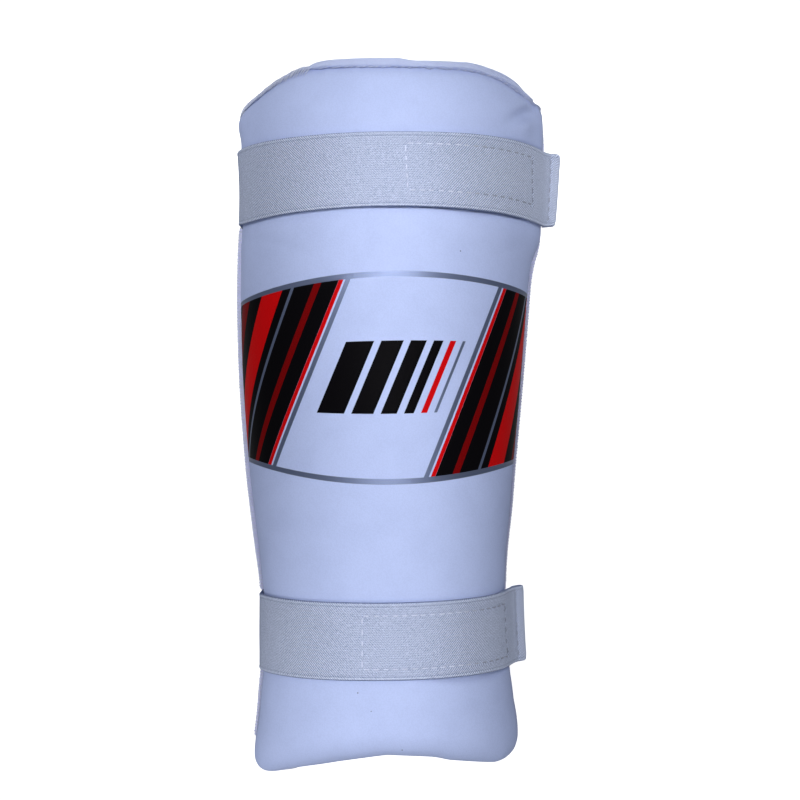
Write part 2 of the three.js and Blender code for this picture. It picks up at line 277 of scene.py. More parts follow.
UPPER_STRAP = StrapPlan(
    name="upper", y=100.0, leaves=0.66, twist=0.02, free=14.0, patch_from=0.035, patch_shift=1.0,
    row_high=10.2, row_low=-8.4, drift=(-0.8, -1.85, -0.7, 0.5, -0.05, -2.2, -2.2),
    half=(14.9, 15.45, 14.8, 14.5, 14.9, 15.2, 14.8), slant=2.8, flare=52.0, hem=3.6,
    seams_from_tip=(20.6, 4.3))
LOWER_STRAP = StrapPlan(
    name="lower", y=-82.0, leaves=0.68, twist=0.0, free=15.9, patch_from=-0.096, patch_shift=-0.4,
    row_high=9.9, row_low=-10.6, drift=(-0.1, 0.4, 0.15, 0.2, 1.05, 2.1, 3.1),
    half=(15.5, 15.4, 15.2, 15.1, 15.1, 15.25, 15.35), slant=1.8, flare=52.0, hem=3.4,
    seams_from_tip=(16.6, 4.1))


@dataclass(frozen=True)
class PadShape:
    """The guard's plain shape: sections across the arm, the cut of its ends and where the straps press.

    A place on it is u, from the left seam (-1) over the crest (0) to the right seam (1), and y along the arm.
    """

    thickness: float = 12.0
    seam_thickness: float = 3.0
    seam_roll: float = 2.2
    seam_height: float = 4.2
    widest_height: float = 16.0
    squareness: float = 2.3
    side_share: float = 0.86
    top: float = 141.5
    bottom: float = -127.8
    top_round: EndRound = EndRound(7.5, 2.2, 0.9, 19.0)
    bottom_round: EndRound = EndRound(10.2, 2.2, 2.4, 11.5)
    round_share: float = 0.55
    round_ease: float = 0.2
    gap: float = 0.3
    strap_half: float = 15.0
    pressed_half: float = 15.0
    sloped_half: float = 18.0
    patch_half: float = 11.8
    edge_lift: float = 2.4
    lift_from: tuple[float, float] = (0.05, 0.3)
    lift_to: tuple[float, float] = (0.5, 0.7)
    knee: float = 16.0
    half_girth: float = 70.0
    seam_stray: float = 0.3
    stray_rim: tuple[float, float] = (1.0, 2.2)
    patch_thickness: float = 1.4
    patch_ramp: tuple[float, float] = (0.15, 0.03)
    straps: tuple[StrapPlan, ...] = (UPPER_STRAP, LOWER_STRAP)

    @staticmethod
    def _by_side(u: Grid, left: Grid, right: Grid) -> Grid:
        """Takes the left value where u is negative and the right value elsewhere."""
        return np.where(np.asarray(u, float) < 0, left, right)

    def column(self, name: str, y: Grid) -> Grid:
        """Reads one column of the section table along the arm."""
        return Curve([r.y for r in SECTIONS], [getattr(r, name) for r in SECTIONS])(y)

    def cut(self, name: str, u: Grid) -> Grid:
        """Reads one column of the end-cut table across the arm."""
        return Curve([r.across for r in END_CUTS], [getattr(r, name) for r in END_CUTS])(np.abs(u))

    def reach(self, u: Grid, y: Grid) -> Grid:
        """Gives the cover's reach from the crest line on the side of u."""
        return self._by_side(u, self.column("left", y), self.column("right", y))

    def rim_side(self, u: Grid, y: Grid) -> Grid:
        """Gives how far the rim stands past the cover on the side of u."""
        return self._by_side(u, self.column("rim_left", y), self.column("rim_right", y))

    def rim_top(self, u: Grid) -> Grid:
        """Gives how far the rim stands past the top seam."""
        return self._by_side(u, self.cut("rim_left", u), self.cut("rim_right", u))

    def top_seam(self, u: Grid) -> Grid:
        """Gives the top seam's place along the arm."""
        drop = self._by_side(u, self.cut("top_left", u), self.cut("top_right", u))
        return self.top - drop + self.seam_wander(u)

    def around(self, u: Grid) -> Grid:
        """Gives how far round from the crest a place lies, near enough for ripples."""
        return self.half_girth * np.asarray(u, float)

    def seam_wander(self, u: Grid) -> Grid:
        """Gives how far the top seam strays from its line, where the rim is wide enough to show it."""
        shown = smoothstep(self.rim_top(u), *self.stray_rim)
        return self.seam_stray * SEAM_WAVE(self.around(u)) * shown

    def bottom_seam(self, u: Grid) -> Grid:
        """Gives the bottom seam's place along the arm."""
        return self.bottom - self._by_side(u, self.cut("bottom_left", u), self.cut("bottom_right", u))

    def depth_at_seam(self, depth: Grid) -> Grid:
        """Gives how far in from the widest line a wall at a depth meets a long seam."""
        foam = np.minimum(depth, self.thickness) * (self.seam_thickness / self.thickness)
        return self.seam_roll + foam + np.maximum(depth - self.thickness, 0.0)

    def section(self, u: Grid, y: Grid, depth: Grid) -> tuple[Grid, Grid]:
        """Finds points of the sections.

        Args:
            u: Place across.
            y: Place along the arm.
            depth: Depth below the cover.

        Returns:
            The points' x and z.
        """
        u, y, depth = np.broadcast_arrays(*(np.asarray(value, float) for value in (u, y, depth)))
        side = np.where(u < 0, -1.0, 1.0)
        reach = self.reach(u, y)
        half = reach - depth
        share = np.clip(np.abs(u) / self.side_share, 0.0, 1.0)
        power = 2.0 / self.squareness
        out = np.sin(share * QUARTER_TURN) ** power
        up = np.maximum(np.cos(share * QUARTER_TURN), 0.0) ** power
        x_arch = half * out
        z_arch = self.widest_height + (self.column("crest", y) - self.widest_height - depth) * up
        roll = np.clip((np.abs(u) - self.side_share) / (1 - self.side_share), 0.0, 1.0) * QUARTER_TURN
        x_roll = lerp(half, reach - self.depth_at_seam(depth), 1 - np.cos(roll))
        z_roll = lerp(self.widest_height, self.seam_height, np.sin(roll))
        above = np.abs(u) <= self.side_share
        return side * np.where(above, x_arch, x_roll), np.where(above, z_arch, z_roll)

    def beside_straps(self, y: Grid) -> Grid:
        """Gives how far along the arm a place lies from the middle of the nearest strap."""
        return np.min([np.abs(y - strap.y) for strap in self.straps], axis=0)

    def pressed(self, y: Grid, strap: StrapPlan) -> Grid:
        """Gives how firmly a strap presses along the arm, from 0 to 1."""
        return 1.0 - smoothstep(np.abs(np.asarray(y) - strap.y), self.pressed_half, self.sloped_half)

    def patched(self, u: Grid, y: Grid, strap: StrapPlan) -> Grid:
        """Finds how firmly a strap's hook tape presses.

        Args:
            u: Place across.
            y: Place along the arm.
            strap: The strap.

        Returns:
            The firmness, from 0 to 1, which reaches further out where the strap's lower edge lifts.
        """
        low, high = (strap.patch_from - ramp for ramp in self.patch_ramp)
        lift = self.edge_lift * smoothstep(u, *self.lift_from) * (1.0 - smoothstep(u, *self.lift_to))
        lift = lift * (y < strap.y)
        inside = smoothstep(np.abs(np.asarray(y) - strap.y) - lift, self.patch_half, self.strap_half)
        return smoothstep(u, low, high) * (1.0 - inside)

    def round_depth(self, end: EndRound, u: Grid) -> Grid:
        """Gives how deep the cover rounds over at an end seam."""
        side = self._by_side(u, end.left_depth, end.right_depth)
        return lerp(end.depth, side, smoothstep(np.abs(u), self.round_ease, self.side_share))

    def cover_depth(self, u: Grid, y: Grid) -> Grid:
        """Finds how far the cover lies below its plain shape.

        Args:
            u: Place across.
            y: Place along the arm.

        Returns:
            The depth made by the straps, their patches and the rounded ends.
        """
        depth = np.zeros(np.broadcast(u, y).shape)
        for strap in self.straps:
            depth = depth + self.pressed(y, strap) * self.gap
            depth = depth + self.patched(u, y, strap) * (self.patch_thickness + self.gap)
        ends = ((self.top_seam(u) - y, self.top_round), (y - self.bottom_seam(u), self.bottom_round))
        for to_seam, end in ends:
            share = 1.0 - np.clip(to_seam / end.length, 0.0, 1.0)
            curl = lerp(share * share, 1.0 - np.sqrt(1.0 - share * share), self.round_share)
            depth = depth + self.round_depth(end, u) * curl
        return depth

    def row_in_column(self, row: Grid, u: Grid) -> Grid:
        """Finds where a row of the crest line lies in a column whose ends are cut shorter.

        Args:
            row: Place of the row on the crest line.
            u: The column.

        Returns:
            The row's place along the arm in that column.
        """
        top_knee = self.straps[0].y + self.knee
        bottom_knee = self.straps[1].y - self.knee
        over = lerp(top_knee, self.top_seam(u), (row - top_knee) / (self.top - top_knee))
        under = lerp(bottom_knee, self.bottom_seam(u), (row - bottom_knee) / (self.bottom - bottom_knee))
        return np.where(row > top_knee, over, np.where(row < bottom_knee, under, row))


WIDEST_RUN = np.linspace(-60.0, 80.0, 281)


@dataclass(frozen=True)
class Frame:
    """Where the guard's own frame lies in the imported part's frame, in millimetres."""

    x: float
    y: float

    @classmethod
    def from_pack(cls, shape: PadShape) -> "Frame":
        """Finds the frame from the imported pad's left side and the upper strap's middle.

        Args:
            shape: The guard's plain shape.

        Returns:
            The frame.
        """
        low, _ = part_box("front_pad")
        strap_low, strap_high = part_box("strap_upper")
        widest = shape.column("left", WIDEST_RUN).max()
        return cls(low[0] / MM + float(widest), (strap_low[1] + strap_high[1]) / 2 / MM - UPPER_STRAP.y)

    def place(self, points: Grid) -> Grid:
        """Turns points in the guard's millimetres into metres in the part's frame."""
        return (np.asarray(points, float) + np.array([self.x, self.y, 0.0])) * MM


Socket = Union["Value", float, Sequence[float]]


class Value:
    """A shader socket that can be used in Python expressions."""

    def __init__(self, graph: "Graph", socket: bpy.types.NodeSocket) -> None:
        """Wraps an output socket.

        Args:
            graph: The node tree it belongs to.
            socket: The socket.
        """
        self.graph = graph
        self.socket = socket

    def output(self, name: str) -> "Value":
        """Gives another output of the same node."""
        return Value(self.graph, self.socket.node.outputs[name])

    def _math(self, operation: str, *inputs: Socket) -> "Value":
        """Adds a Math node on some inputs."""
        return self.graph.add("ShaderNodeMath", {"operation": operation}, dict(enumerate(inputs)))

    def __add__(self, other: Socket) -> "Value":
        """Adds."""
        return self._math("ADD", self, other)

    __radd__ = __add__

    def __sub__(self, other: Socket) -> "Value":
        """Subtracts."""
        return self._math("SUBTRACT", self, other)

    def __rsub__(self, other: Socket) -> "Value":
        """Subtracts this from a number."""
        return self._math("SUBTRACT", other, self)

    def __mul__(self, other: Socket) -> "Value":
        """Multiplies."""
        return self._math("MULTIPLY", self, other)

    __rmul__ = __mul__

    def __truediv__(self, other: Socket) -> "Value":
        """Divides."""
        return self._math("DIVIDE", self, other)

    def __pow__(self, power: Socket) -> "Value":
        """Raises to a power."""
        return self._math("POWER", self, power)

    def __abs__(self) -> "Value":
        """Drops the sign."""
        return self._math("ABSOLUTE", self)

    def fract(self) -> "Value":
        """Keeps what follows the point."""
        return self._math("FRACT", self)

    def sin(self) -> "Value":
        """Takes the sine."""
        return self._math("SINE", self)

    def least(self, other: Socket) -> "Value":
        """Takes the smaller of two."""
        return self._math("MINIMUM", self, other)

    def most(self, other: Socket) -> "Value":
        """Takes the larger of two."""
        return self._math("MAXIMUM", self, other)

    def ease(self, low: float, high: float) -> "Value":
        """Eases from 0 at low to 1 at high."""
        sockets = {"Value": self, "From Min": low, "From Max": high, "To Min": 0.0, "To Max": 1.0}
        return self.graph.add("ShaderNodeMapRange", {"interpolation_type": "SMOOTHSTEP"}, sockets)

    def between(self, low: float, high: float, soft: float) -> "Value":
        """Masks what lies between two limits, with soft edges."""
        return self.ease(low - soft, low + soft) * (1.0 - self.ease(high - soft, high + soft))


class Graph:
    """A material's node tree."""

    def __init__(self, name: str) -> None:
        """Starts an empty material.

        Args:
            name: The material's name.
        """
        self.material = bpy.data.materials.new(name)
        self.material.use_nodes = True
        self.tree = self.material.node_tree
        self.tree.nodes.clear()

    def node(self, kind: str, settings: Mapping[str, object],
             sockets: Mapping[Union[int, str], Socket]) -> bpy.types.Node:
        """Adds a node.

        Args:
            kind: The node's type.
            settings: Its own settings, set first.
            sockets: Values or links of its input sockets, by name or number.

        Returns:
            The node.
        """
        node = self.tree.nodes.new(kind)
        for name, setting in settings.items():
            setattr(node, name, setting)
        for key, socket in sockets.items():
            if isinstance(socket, Value):
                self.tree.links.new(socket.socket, node.inputs[key])
            else:
                node.inputs[key].default_value = socket
        return node

    def add(self, kind: str, settings: Optional[Mapping[str, object]] = None,
            sockets: Optional[Mapping[Union[int, str], Socket]] = None, output: Union[int, str] = 0) -> Value:
        """Adds a node, as node() does, and hands back one of its outputs."""
        return Value(self, self.node(kind, settings or {}, sockets or {}).outputs[output])

    def mix(self, first: Socket, second: Socket, share: Socket) -> Value:
        """Mixes two colours by a share."""
        return self.add("ShaderNodeMix", {"data_type": "RGBA"}, {0: share, 6: first, 7: second}, output=2)

    def place(self) -> Value:
        """Gives a point's place on the object, in metres."""
        return self.add("ShaderNodeTexCoord", output="Object")

    def axes(self) -> tuple[Value, Value, Value]:
        """Gives a point's place on the object as three values, in metres."""
        split = self.add("ShaderNodeSeparateXYZ", {}, {0: self.place()})
        return split, split.output("Y"), split.output("Z")

    def chart(self) -> tuple[Value, Value]:
        """Gives a point's two places on the piece's own flat chart."""
        chart = self.add("ShaderNodeSeparateXYZ", {}, {0: self.add("ShaderNodeUVMap", {"uv_map": "chart"})})
        return chart, chart.output("Y")

    def noise(self, size: float, detail: float = 3.0, roughness: float = 0.55) -> Value:
        """Makes noise of a grain size in metres.

        Args:
            size: Typical size of a grain.
            detail: Layers of finer grain.
            roughness: Strength of the finer layers.

        Returns:
            The noise, about 0.5 on average.
        """
        sockets = {"Vector": self.place(), "Scale": 1.0 / size, "Detail": detail, "Roughness": roughness}
        return self.add("ShaderNodeTexNoise", {"normalize": True}, sockets)

    def bump(self, height: Value, depth: float, strength: float = 1.0) -> Value:
        """Turns a height of 0 to 1 into a normal, for relief of a depth in metres."""
        return self.add("ShaderNodeBump", {}, {"Height": height, "Distance": depth, "Strength": strength})

    def surface(self, sockets: Mapping[str, Socket]) -> bpy.types.Material:
        """Ends the tree in a Principled shader.

        Args:
            sockets: Values or links of the shader's sockets.

        Returns:
            The material.
        """
        shader = self.add("ShaderNodeBsdfPrincipled", {}, sockets)
        self.node("ShaderNodeOutputMaterial", {}, {"Surface": shader})
        return self.material


class Ink(Enum):
    """An ink of the printed band, in the order in which the inks are laid."""

    BLACK = "black"
    RED = "red"
    DEEP_RED = "deep red"
    SILVER = "silver"


class Bar(NamedTuple):
    """A slanted bar of the printed band: its two edges across, its ink, and its lower and upper ends."""

    start: float
    end: float
    ink: Ink
    low: float = -5.0
    high: float = 85.0


class BandLine(NamedTuple):
    """A silver line that bows across the arm: its place at its middle, and its bow over a half width."""

    y: float
    bow: float
    middle: float
    half: float

    def at(self, x: Grid) -> Grid:
        """Gives the line's place along the arm."""
        return self.y + self.bow * ((x - self.middle) / self.half) ** 2


@dataclass(frozen=True)
class PrintedBand:
    """The generic band printed on the cover: slanted bars between two silver lines.

    Its chart runs in millimetres along the cover from the crest, and from the lower line at 0 to the upper.
    The bars on the right of the crest are repeated on its left.
    """

    height: float = 79.5
    line: float = 2.2
    lean: float = 0.42
    edge: float = 0.1
    upper: BandLine = BandLine(60.2, -8.5, 6.0, 64.0)
    lower: BandLine = BandLine(-20.0, 8.2, -1.0, 56.0)
    black: Colour = ink(9, 8, 11)
    red: Colour = ink(196, 10, 14)
    deep_red: Colour = ink(112, 6, 9)
    silver: Colour = ink(106, 116, 144)
    middle_bars: tuple[Bar, ...] = (
        Bar(-22.0, -11.0, Ink.BLACK, 26.0, 54.0), Bar(-8.2, 0.4, Ink.BLACK, 26.0, 54.0),
        Bar(3.2, 9.4, Ink.BLACK, 26.0, 54.0), Bar(12.2, 16.0, Ink.BLACK, 26.0, 54.0),
        Bar(18.8, 21.2, Ink.RED, 26.0, 54.0), Bar(24.0, 25.2, Ink.SILVER, 26.0, 54.0))
    side_bars: tuple[Bar, ...] = (
        Bar(30.4, 32.4, Ink.SILVER), Bar(33.2, 35.0, Ink.RED), Bar(35.0, 140.0, Ink.BLACK),
        Bar(42.0, 45.0, Ink.DEEP_RED), Bar(53.6, 55.0, Ink.SILVER), Bar(59.0, 70.0, Ink.RED),
        Bar(79.0, 88.0, Ink.DEEP_RED))

    def bars(self) -> list[Bar]:
        """Lists the bars of the middle and of both sides."""
        mirrored = [bar._replace(start=-bar.end, end=-bar.start) for bar in self.side_bars]
        return [*mirrored, *self.middle_bars, *self.side_bars]

    def colours(self) -> dict[Ink, Colour]:
        """Gives each ink's colour."""
        return dict(zip(Ink, (self.black, self.red, self.deep_red, self.silver)))

    def up(self, x: Grid, y: Grid) -> Grid:
        """Gives how far up the band a place on the guard lies."""
        lower = self.lower.at(x)
        return self.height * (y - lower) / (self.upper.at(x) - lower)

    def masks(self, across: Value, along: Value) -> dict[Ink, Value]:
        """Draws the band.

        Args:
            across: Place along the cover from the crest.
            along: Place from the lower line to the upper one.

        Returns:
            A mask for each ink, to be laid in the order of the inks.
        """
        slant = across - self.lean * (along - self.height / 2)
        inside = along.between(0.0, self.height, self.edge)
        painted = {each: across * 0.0 for each in Ink}
        for bar in self.bars():
            run = along.between(bar.low, bar.high, self.edge)
            painted[bar.ink] = painted[bar.ink].most(slant.between(bar.start, bar.end, self.edge) * run)
        masks = {each: mask * inside for each, mask in painted.items()}
        low = along.between(-self.line / 2, self.line / 2, self.edge)
        high = along.between(self.height - self.line / 2, self.height + self.line / 2, self.edge)
        masks[Ink.SILVER] = masks[Ink.SILVER].most(low).most(high)
        return masks


class Speck(NamedTuple):
    """A speck of soil on the cover: its place and radius in the part's frame, in metres."""

    x: float
    y: float
    radius: float


@dataclass(frozen=True)
class Leathercloth:
    """White coated cloth with a fine pebble grain and the printed band.

    Painted shade darkens it low on its sides, more so towards both ends, and a few specks of soil lie on it.
    """

    band: PrintedBand = PrintedBand()
    white: Colour = ink(183, 196, 236)
    shade: Colour = ink(170, 183, 223)
    # Colour of the specks of soil, and of the painted shade low on the sides.
    soil_and_shade: Colour = ink(118, 124, 156)
    grain: float = 0.0006
    fine_grain: float = 0.0004
    cloud: float = 0.012
    relief: float = 0.00005
    pebble_height: float = 0.75
    fine_height: float = 0.35
    mottle: float = 0.3
    # Painted shade low on the sides, stronger towards both ends, made patchy by the cloud noise:
    side_shade: float = 0.42
    end_shade: float = 0.4
    patchy: float = 0.5
    end_from: float = 0.096
    end_to: float = 0.112
    side_shade_low: float = 0.015
    side_shade_high: float = 0.028
    roughness: float = 0.52
    uneven: float = 0.12
    print_gloss: float = 0.08
    silver_gloss: float = 0.04
    specular: float = 0.015
    specks: tuple[Speck, ...] = (
        Speck(0.0248, 0.0664, 0.0003), Speck(-0.0150, -0.1048, 0.0003), Speck(-0.0098, -0.1118, 0.00025),
        Speck(0.0022, -0.1275, 0.0003))
    speck_edge: tuple[float, float] = (0.4, 1.4)

    def material(self) -> bpy.types.Material:
        """Makes the cover's material.

        Returns:
            The material.
        """
        graph = Graph("leathercloth")
        across, along = graph.chart()
        masks = self.band.masks(across, along)
        pebble = graph.add("ShaderNodeTexVoronoi", {"feature": "F1", "distance": "EUCLIDEAN"},
                           {"Vector": graph.place(), "Scale": 1.0 / self.grain, "Randomness": 1.0})
        fine = graph.noise(self.fine_grain)
        cloudy = graph.noise(self.cloud, detail=4.0)
        height = self.pebble_height * (1.0 - pebble) + self.fine_height * fine
        hollows = cloudy.ease(0.35, 0.75) * self.mottle + pebble.ease(0.35, 0.7) * self.mottle
        colour = graph.mix(self.white, self.shade, hollows)
        x, y, z = graph.axes()
        # Painted shade: darker low on the sides and towards both ends, standing in for shade at the rolled
        # edges.
        low = 1.0 - z.ease(self.side_shade_low, self.side_shade_high)
        ends = abs(y).ease(self.end_from, self.end_to)
        side_shade = self.side_shade + self.end_shade * ends + self.patchy * (cloudy - 0.5)
        colour = graph.mix(colour, self.soil_and_shade, low * side_shade)
        for each, laid in self.band.colours().items():
            colour = graph.mix(colour, laid, masks[each])
        for speck in self.specks:
            away = ((x - speck.x) ** 2.0 + (y - speck.y) ** 2.0) / speck.radius ** 2
            colour = graph.mix(colour, self.soil_and_shade, 1.0 - away.ease(*self.speck_edge))
        printed = masks[Ink.BLACK].most(masks[Ink.RED]).most(masks[Ink.DEEP_RED])
        gloss = self.print_gloss * printed + self.silver_gloss * masks[Ink.SILVER]
        return graph.surface({
            "Base Color": colour, "Roughness": self.roughness - gloss + self.uneven * (fine - 0.5),
            "Metallic": masks[Ink.SILVER], "Specular IOR Level": self.specular,
            "Normal": graph.bump(height, self.relief)})


@dataclass(frozen=True)
class LiningCloth:
    """Pale brushed lining cloth with a fine knit, painted whiter low along its long rims as painted light."""

    pale: Colour = ink(194, 204, 237)
    hollow: Colour = ink(150, 161, 197)
    # Painted light: a whiter colour low along the long rims, which lie in the pad's shadow.
    rim_light: Colour = ink(216, 217, 252)
    rim_light_low: float = 0.005
    rim_light_high: float = 0.009
    rim_light_share: float = 0.75
    loop: float = 0.0009
    loop_skew: float = 0.5
    loop_stretch: float = 0.8
    nap: float = 0.0005
    knit_height: float = 0.2
    nap_height: float = 0.8
    relief: float = 0.00012
    roughness: float = 0.82

    def material(self) -> bpy.types.Material:
        """Makes the back panel's material.

        Returns:
            The material.
        """
        graph = Graph("lining_cloth")
        x, y, z = graph.axes()
        turn = math.tau / self.loop
        knit = ((x + self.loop_skew * z) * turn).sin() * ((y + z) * (turn * self.loop_stretch)).sin()
        nap = graph.noise(self.nap, detail=4.0)
        height = self.knit_height * knit + self.nap_height * nap
        colour = graph.mix(self.hollow, self.pale, height.ease(0.0, 0.55))
        # Painted light on the shaded long rims: the cloth is mixed whiter low down.
        rim_lit = 1.0 - z.ease(self.rim_light_low, self.rim_light_high)
        colour = graph.mix(colour, self.rim_light, rim_lit * (self.rim_light_share + 0.4 * (nap - 0.5)))
        return graph.surface({
            "Base Color": colour, "Roughness": self.roughness + 0.12 * (nap - 0.5), "Sheen Weight": 0.25,
            "Sheen Roughness": 0.5, "Specular IOR Level": 0.2, "Normal": graph.bump(height, self.relief)})


@dataclass(frozen=True)
class WovenElastic:
    """Pale grey woven elastic: a pointed twill that leans both ways from the crest, with corded edges.

    Its chart runs along the strap from the crest and across it, in millimetres. Painted shade darkens it low on
    its left side and along its edges, a painted highlight lies on its cords and painted shade in the furrows
    beside them, and it is lighter towards its free end.
    """

    yarn: Colour = ink(222, 231, 254)
    gap: Colour = ink(108, 121, 158)
    rib: float = 0.7
    pick: float = 0.9
    smooth: float = 8.0
    drawn: float = 34.0
    flat_share: float = 0.3
    lean: float = math.radians(48)
    wander: float = 0.5
    wander_size: float = 0.004
    speck: float = 0.0005
    fibre: float = 0.00022
    level: float = 0.43
    rib_mean: float = 0.63
    speckle: float = 0.85
    half_width: float = 15.0
    edge_shade_band: tuple[float, float] = (0.1, 0.6)
    cord_band: tuple[float, float] = (0.35, 1.15)
    groove_band: tuple[float, float] = (1.25, 1.75)
    soft: float = 0.15
    # Painted highlight on the raised cords and painted shade in the furrows beside them:
    cord_highlight: float = 0.1
    groove_shade: float = 0.16
    cord_height: float = 0.3
    # Painted shade low on the left side, where the strap turns away at its silhouette:
    left_shade: float = 0.42
    left_shade_low: float = 0.016
    left_shade_high: float = 0.03
    left_shade_x: tuple[float, float] = (-0.05, -0.03)
    # Lighter towards the free end:
    tip_lightening: float = 0.1
    lightening_from: float = 28.0
    lightening_to: float = 58.0
    # Painted shade along the edges, as contact shadow against the pad:
    edge_shade: float = 0.5
    relief: float = 0.00022
    roughness: float = 0.78

    def material(self) -> bpy.types.Material:
        """Makes the straps' material.

        Returns:
            The material.
        """
        graph = Graph("woven_elastic")
        along, across = graph.chart()
        wander = self.wander * (graph.noise(self.wander_size, detail=2.0) - 0.5)
        row = (across * math.cos(self.lean) - abs(along) * math.sin(self.lean) + wander) / self.rib
        from_rib = 2.0 * row.fract() - 1.0
        rib = 1.0 - from_rib * from_rib
        speck = graph.noise(self.speck, detail=1.0)
        fibre = graph.noise(self.fibre, detail=3.0, roughness=0.7)
        clear = self.flat_share + (1.0 - self.flat_share) * abs(along).ease(self.smooth, self.drawn)
        height = rib * clear * (0.3 + 1.2 * speck) + fibre * 0.35
        weft = (across * (math.tau / self.pick)).sin() * (1.0 - clear)
        light = self.level + clear * (rib - self.rib_mean) + self.speckle * (speck - 0.5)
        light = light + 0.2 * (fibre - 0.5) + 0.1 * weft
        from_edge = self.half_width - abs(across)
        cord = from_edge.between(*self.cord_band, self.soft)
        groove = from_edge.between(*self.groove_band, self.soft)
        x, _, z = graph.axes()
        # Painted shade: darker low on the left side and along the edges.
        left_shade = (1.0 - z.ease(self.left_shade_low, self.left_shade_high)) * (1.0 - x.ease(*self.left_shade_x))
        painted_shade = self.left_shade * left_shade + self.edge_shade * (1.0 - from_edge.ease(*self.edge_shade_band))
        # Lighter towards the free end.
        tip_lightening = self.tip_lightening * along.ease(self.lightening_from, self.lightening_to)
        # Painted highlight on the cords, painted shade in the furrows, along the edges and low on the left.
        light = light + self.cord_highlight * cord - self.groove_shade * groove + tip_lightening - painted_shade
        colour = graph.mix(self.gap, self.yarn, light.most(0.0).least(1.0))
        return graph.surface({
            "Base Color": colour, "Roughness": self.roughness + 0.1 * (fibre - 0.5), "Sheen Weight": 0.02,
            "Sheen Roughness": 0.4, "Specular IOR Level": 0.12,
            "Normal": graph.bump(height + self.cord_height * cord, self.relief)})


@dataclass(frozen=True)
class WovenTape:
    """Pale nylon hook tape: a fine plain weave, and the hooks that are woven into it."""

    pale: Colour = ink(190, 196, 214)
    deep: Colour = ink(140, 147, 170)
    pitch: float = 0.0008
    fibre: float = 0.0003
    relief: float = 0.0001
    roughness: float = 0.6

    def material(self) -> bpy.types.Material:
        """Makes the hook patches' material.

        Returns:
            The material.
        """
        graph = Graph("hook_tape")
        x, y, _ = graph.axes()
        turn = math.tau / self.pitch
        weave = (x * turn).sin() * (y * turn).sin()
        fibre = graph.noise(self.fibre)
        colour = graph.mix(self.deep, self.pale, (weave * 0.4 + fibre).ease(0.1, 0.9))
        return graph.surface({
            "Base Color": colour, "Roughness": self.roughness + 0.15 * (fibre - 0.5),
            "Normal": graph.bump(weave * 0.5 + fibre, self.relief)})


@dataclass(frozen=True)
class SewingThread:
    """Pale twisted sewing thread, painted darker towards the right as painted shade.

    Its chart runs along and round the thread, in millimetres and turns.
    """

    name: str
    # Colour of the painted shade towards the right.
    painted_shade: Colour
    pale: Colour = ink(224, 230, 247)
    deep: Colour = ink(180, 188, 216)
    lay: float = 0.7
    plies: float = 2.0
    fuzz: float = 0.0002
    shade_from: float = 0.022
    shade_to: float = 0.036
    relief: float = 0.00006
    roughness: float = 0.62

    def material(self) -> bpy.types.Material:
        """Makes the thread's material.

        Returns:
            The material.
        """
        graph = Graph(self.name)
        along, around = graph.chart()
        ply = ((along / self.lay + self.plies * around) * math.tau).sin() * 0.5 + 0.5
        fuzz = graph.noise(self.fuzz)
        colour = graph.mix(self.deep, self.pale, (ply * 0.6 + fuzz * 0.6).ease(0.1, 0.9))
        x, _, _ = graph.axes()
        # Painted shade: the thread darkens towards the right, as shade in the grooves it lies in.
        shaded_share = x.ease(self.shade_from, self.shade_to) * (0.6 + 0.4 * fuzz)
        return graph.surface({
            "Base Color": graph.mix(colour, self.painted_shade, shaded_share),
            "Roughness": self.roughness + 0.2 * (fuzz - 0.5), "Sheen Weight": 0.15,
            "Normal": graph.bump(ply, self.relief)})


@dataclass(frozen=True)
class PaperFloor:
    """A plain white sheet on a light table."""

    white: Colour = (0.9, 0.9, 0.9, 1.0)
    grey: Colour = (0.88, 0.88, 0.88, 1.0)
    lit: Colour = (1.0, 1.0, 1.0, 1.0)
    glow: float = 0.75
    tooth: float = 0.002
    relief: float = 0.00003
    roughness: float = 0.9

    def material(self) -> bpy.types.Material:
        """Makes the floor's material.

        Returns:
            The material.
        """
        graph = Graph("paper_floor")
        tooth = graph.noise(self.tooth, detail=4.0)
        return graph.surface({
            "Base Color": graph.mix(self.white, self.grey, tooth), "Roughness": self.roughness + 0.05 * tooth,
            "Specular IOR Level": 0.1, "Normal": graph.bump(tooth, self.relief),
            "Emission Color": self.lit, "Emission Strength": self.glow})


THREAD_TIP = 0.35


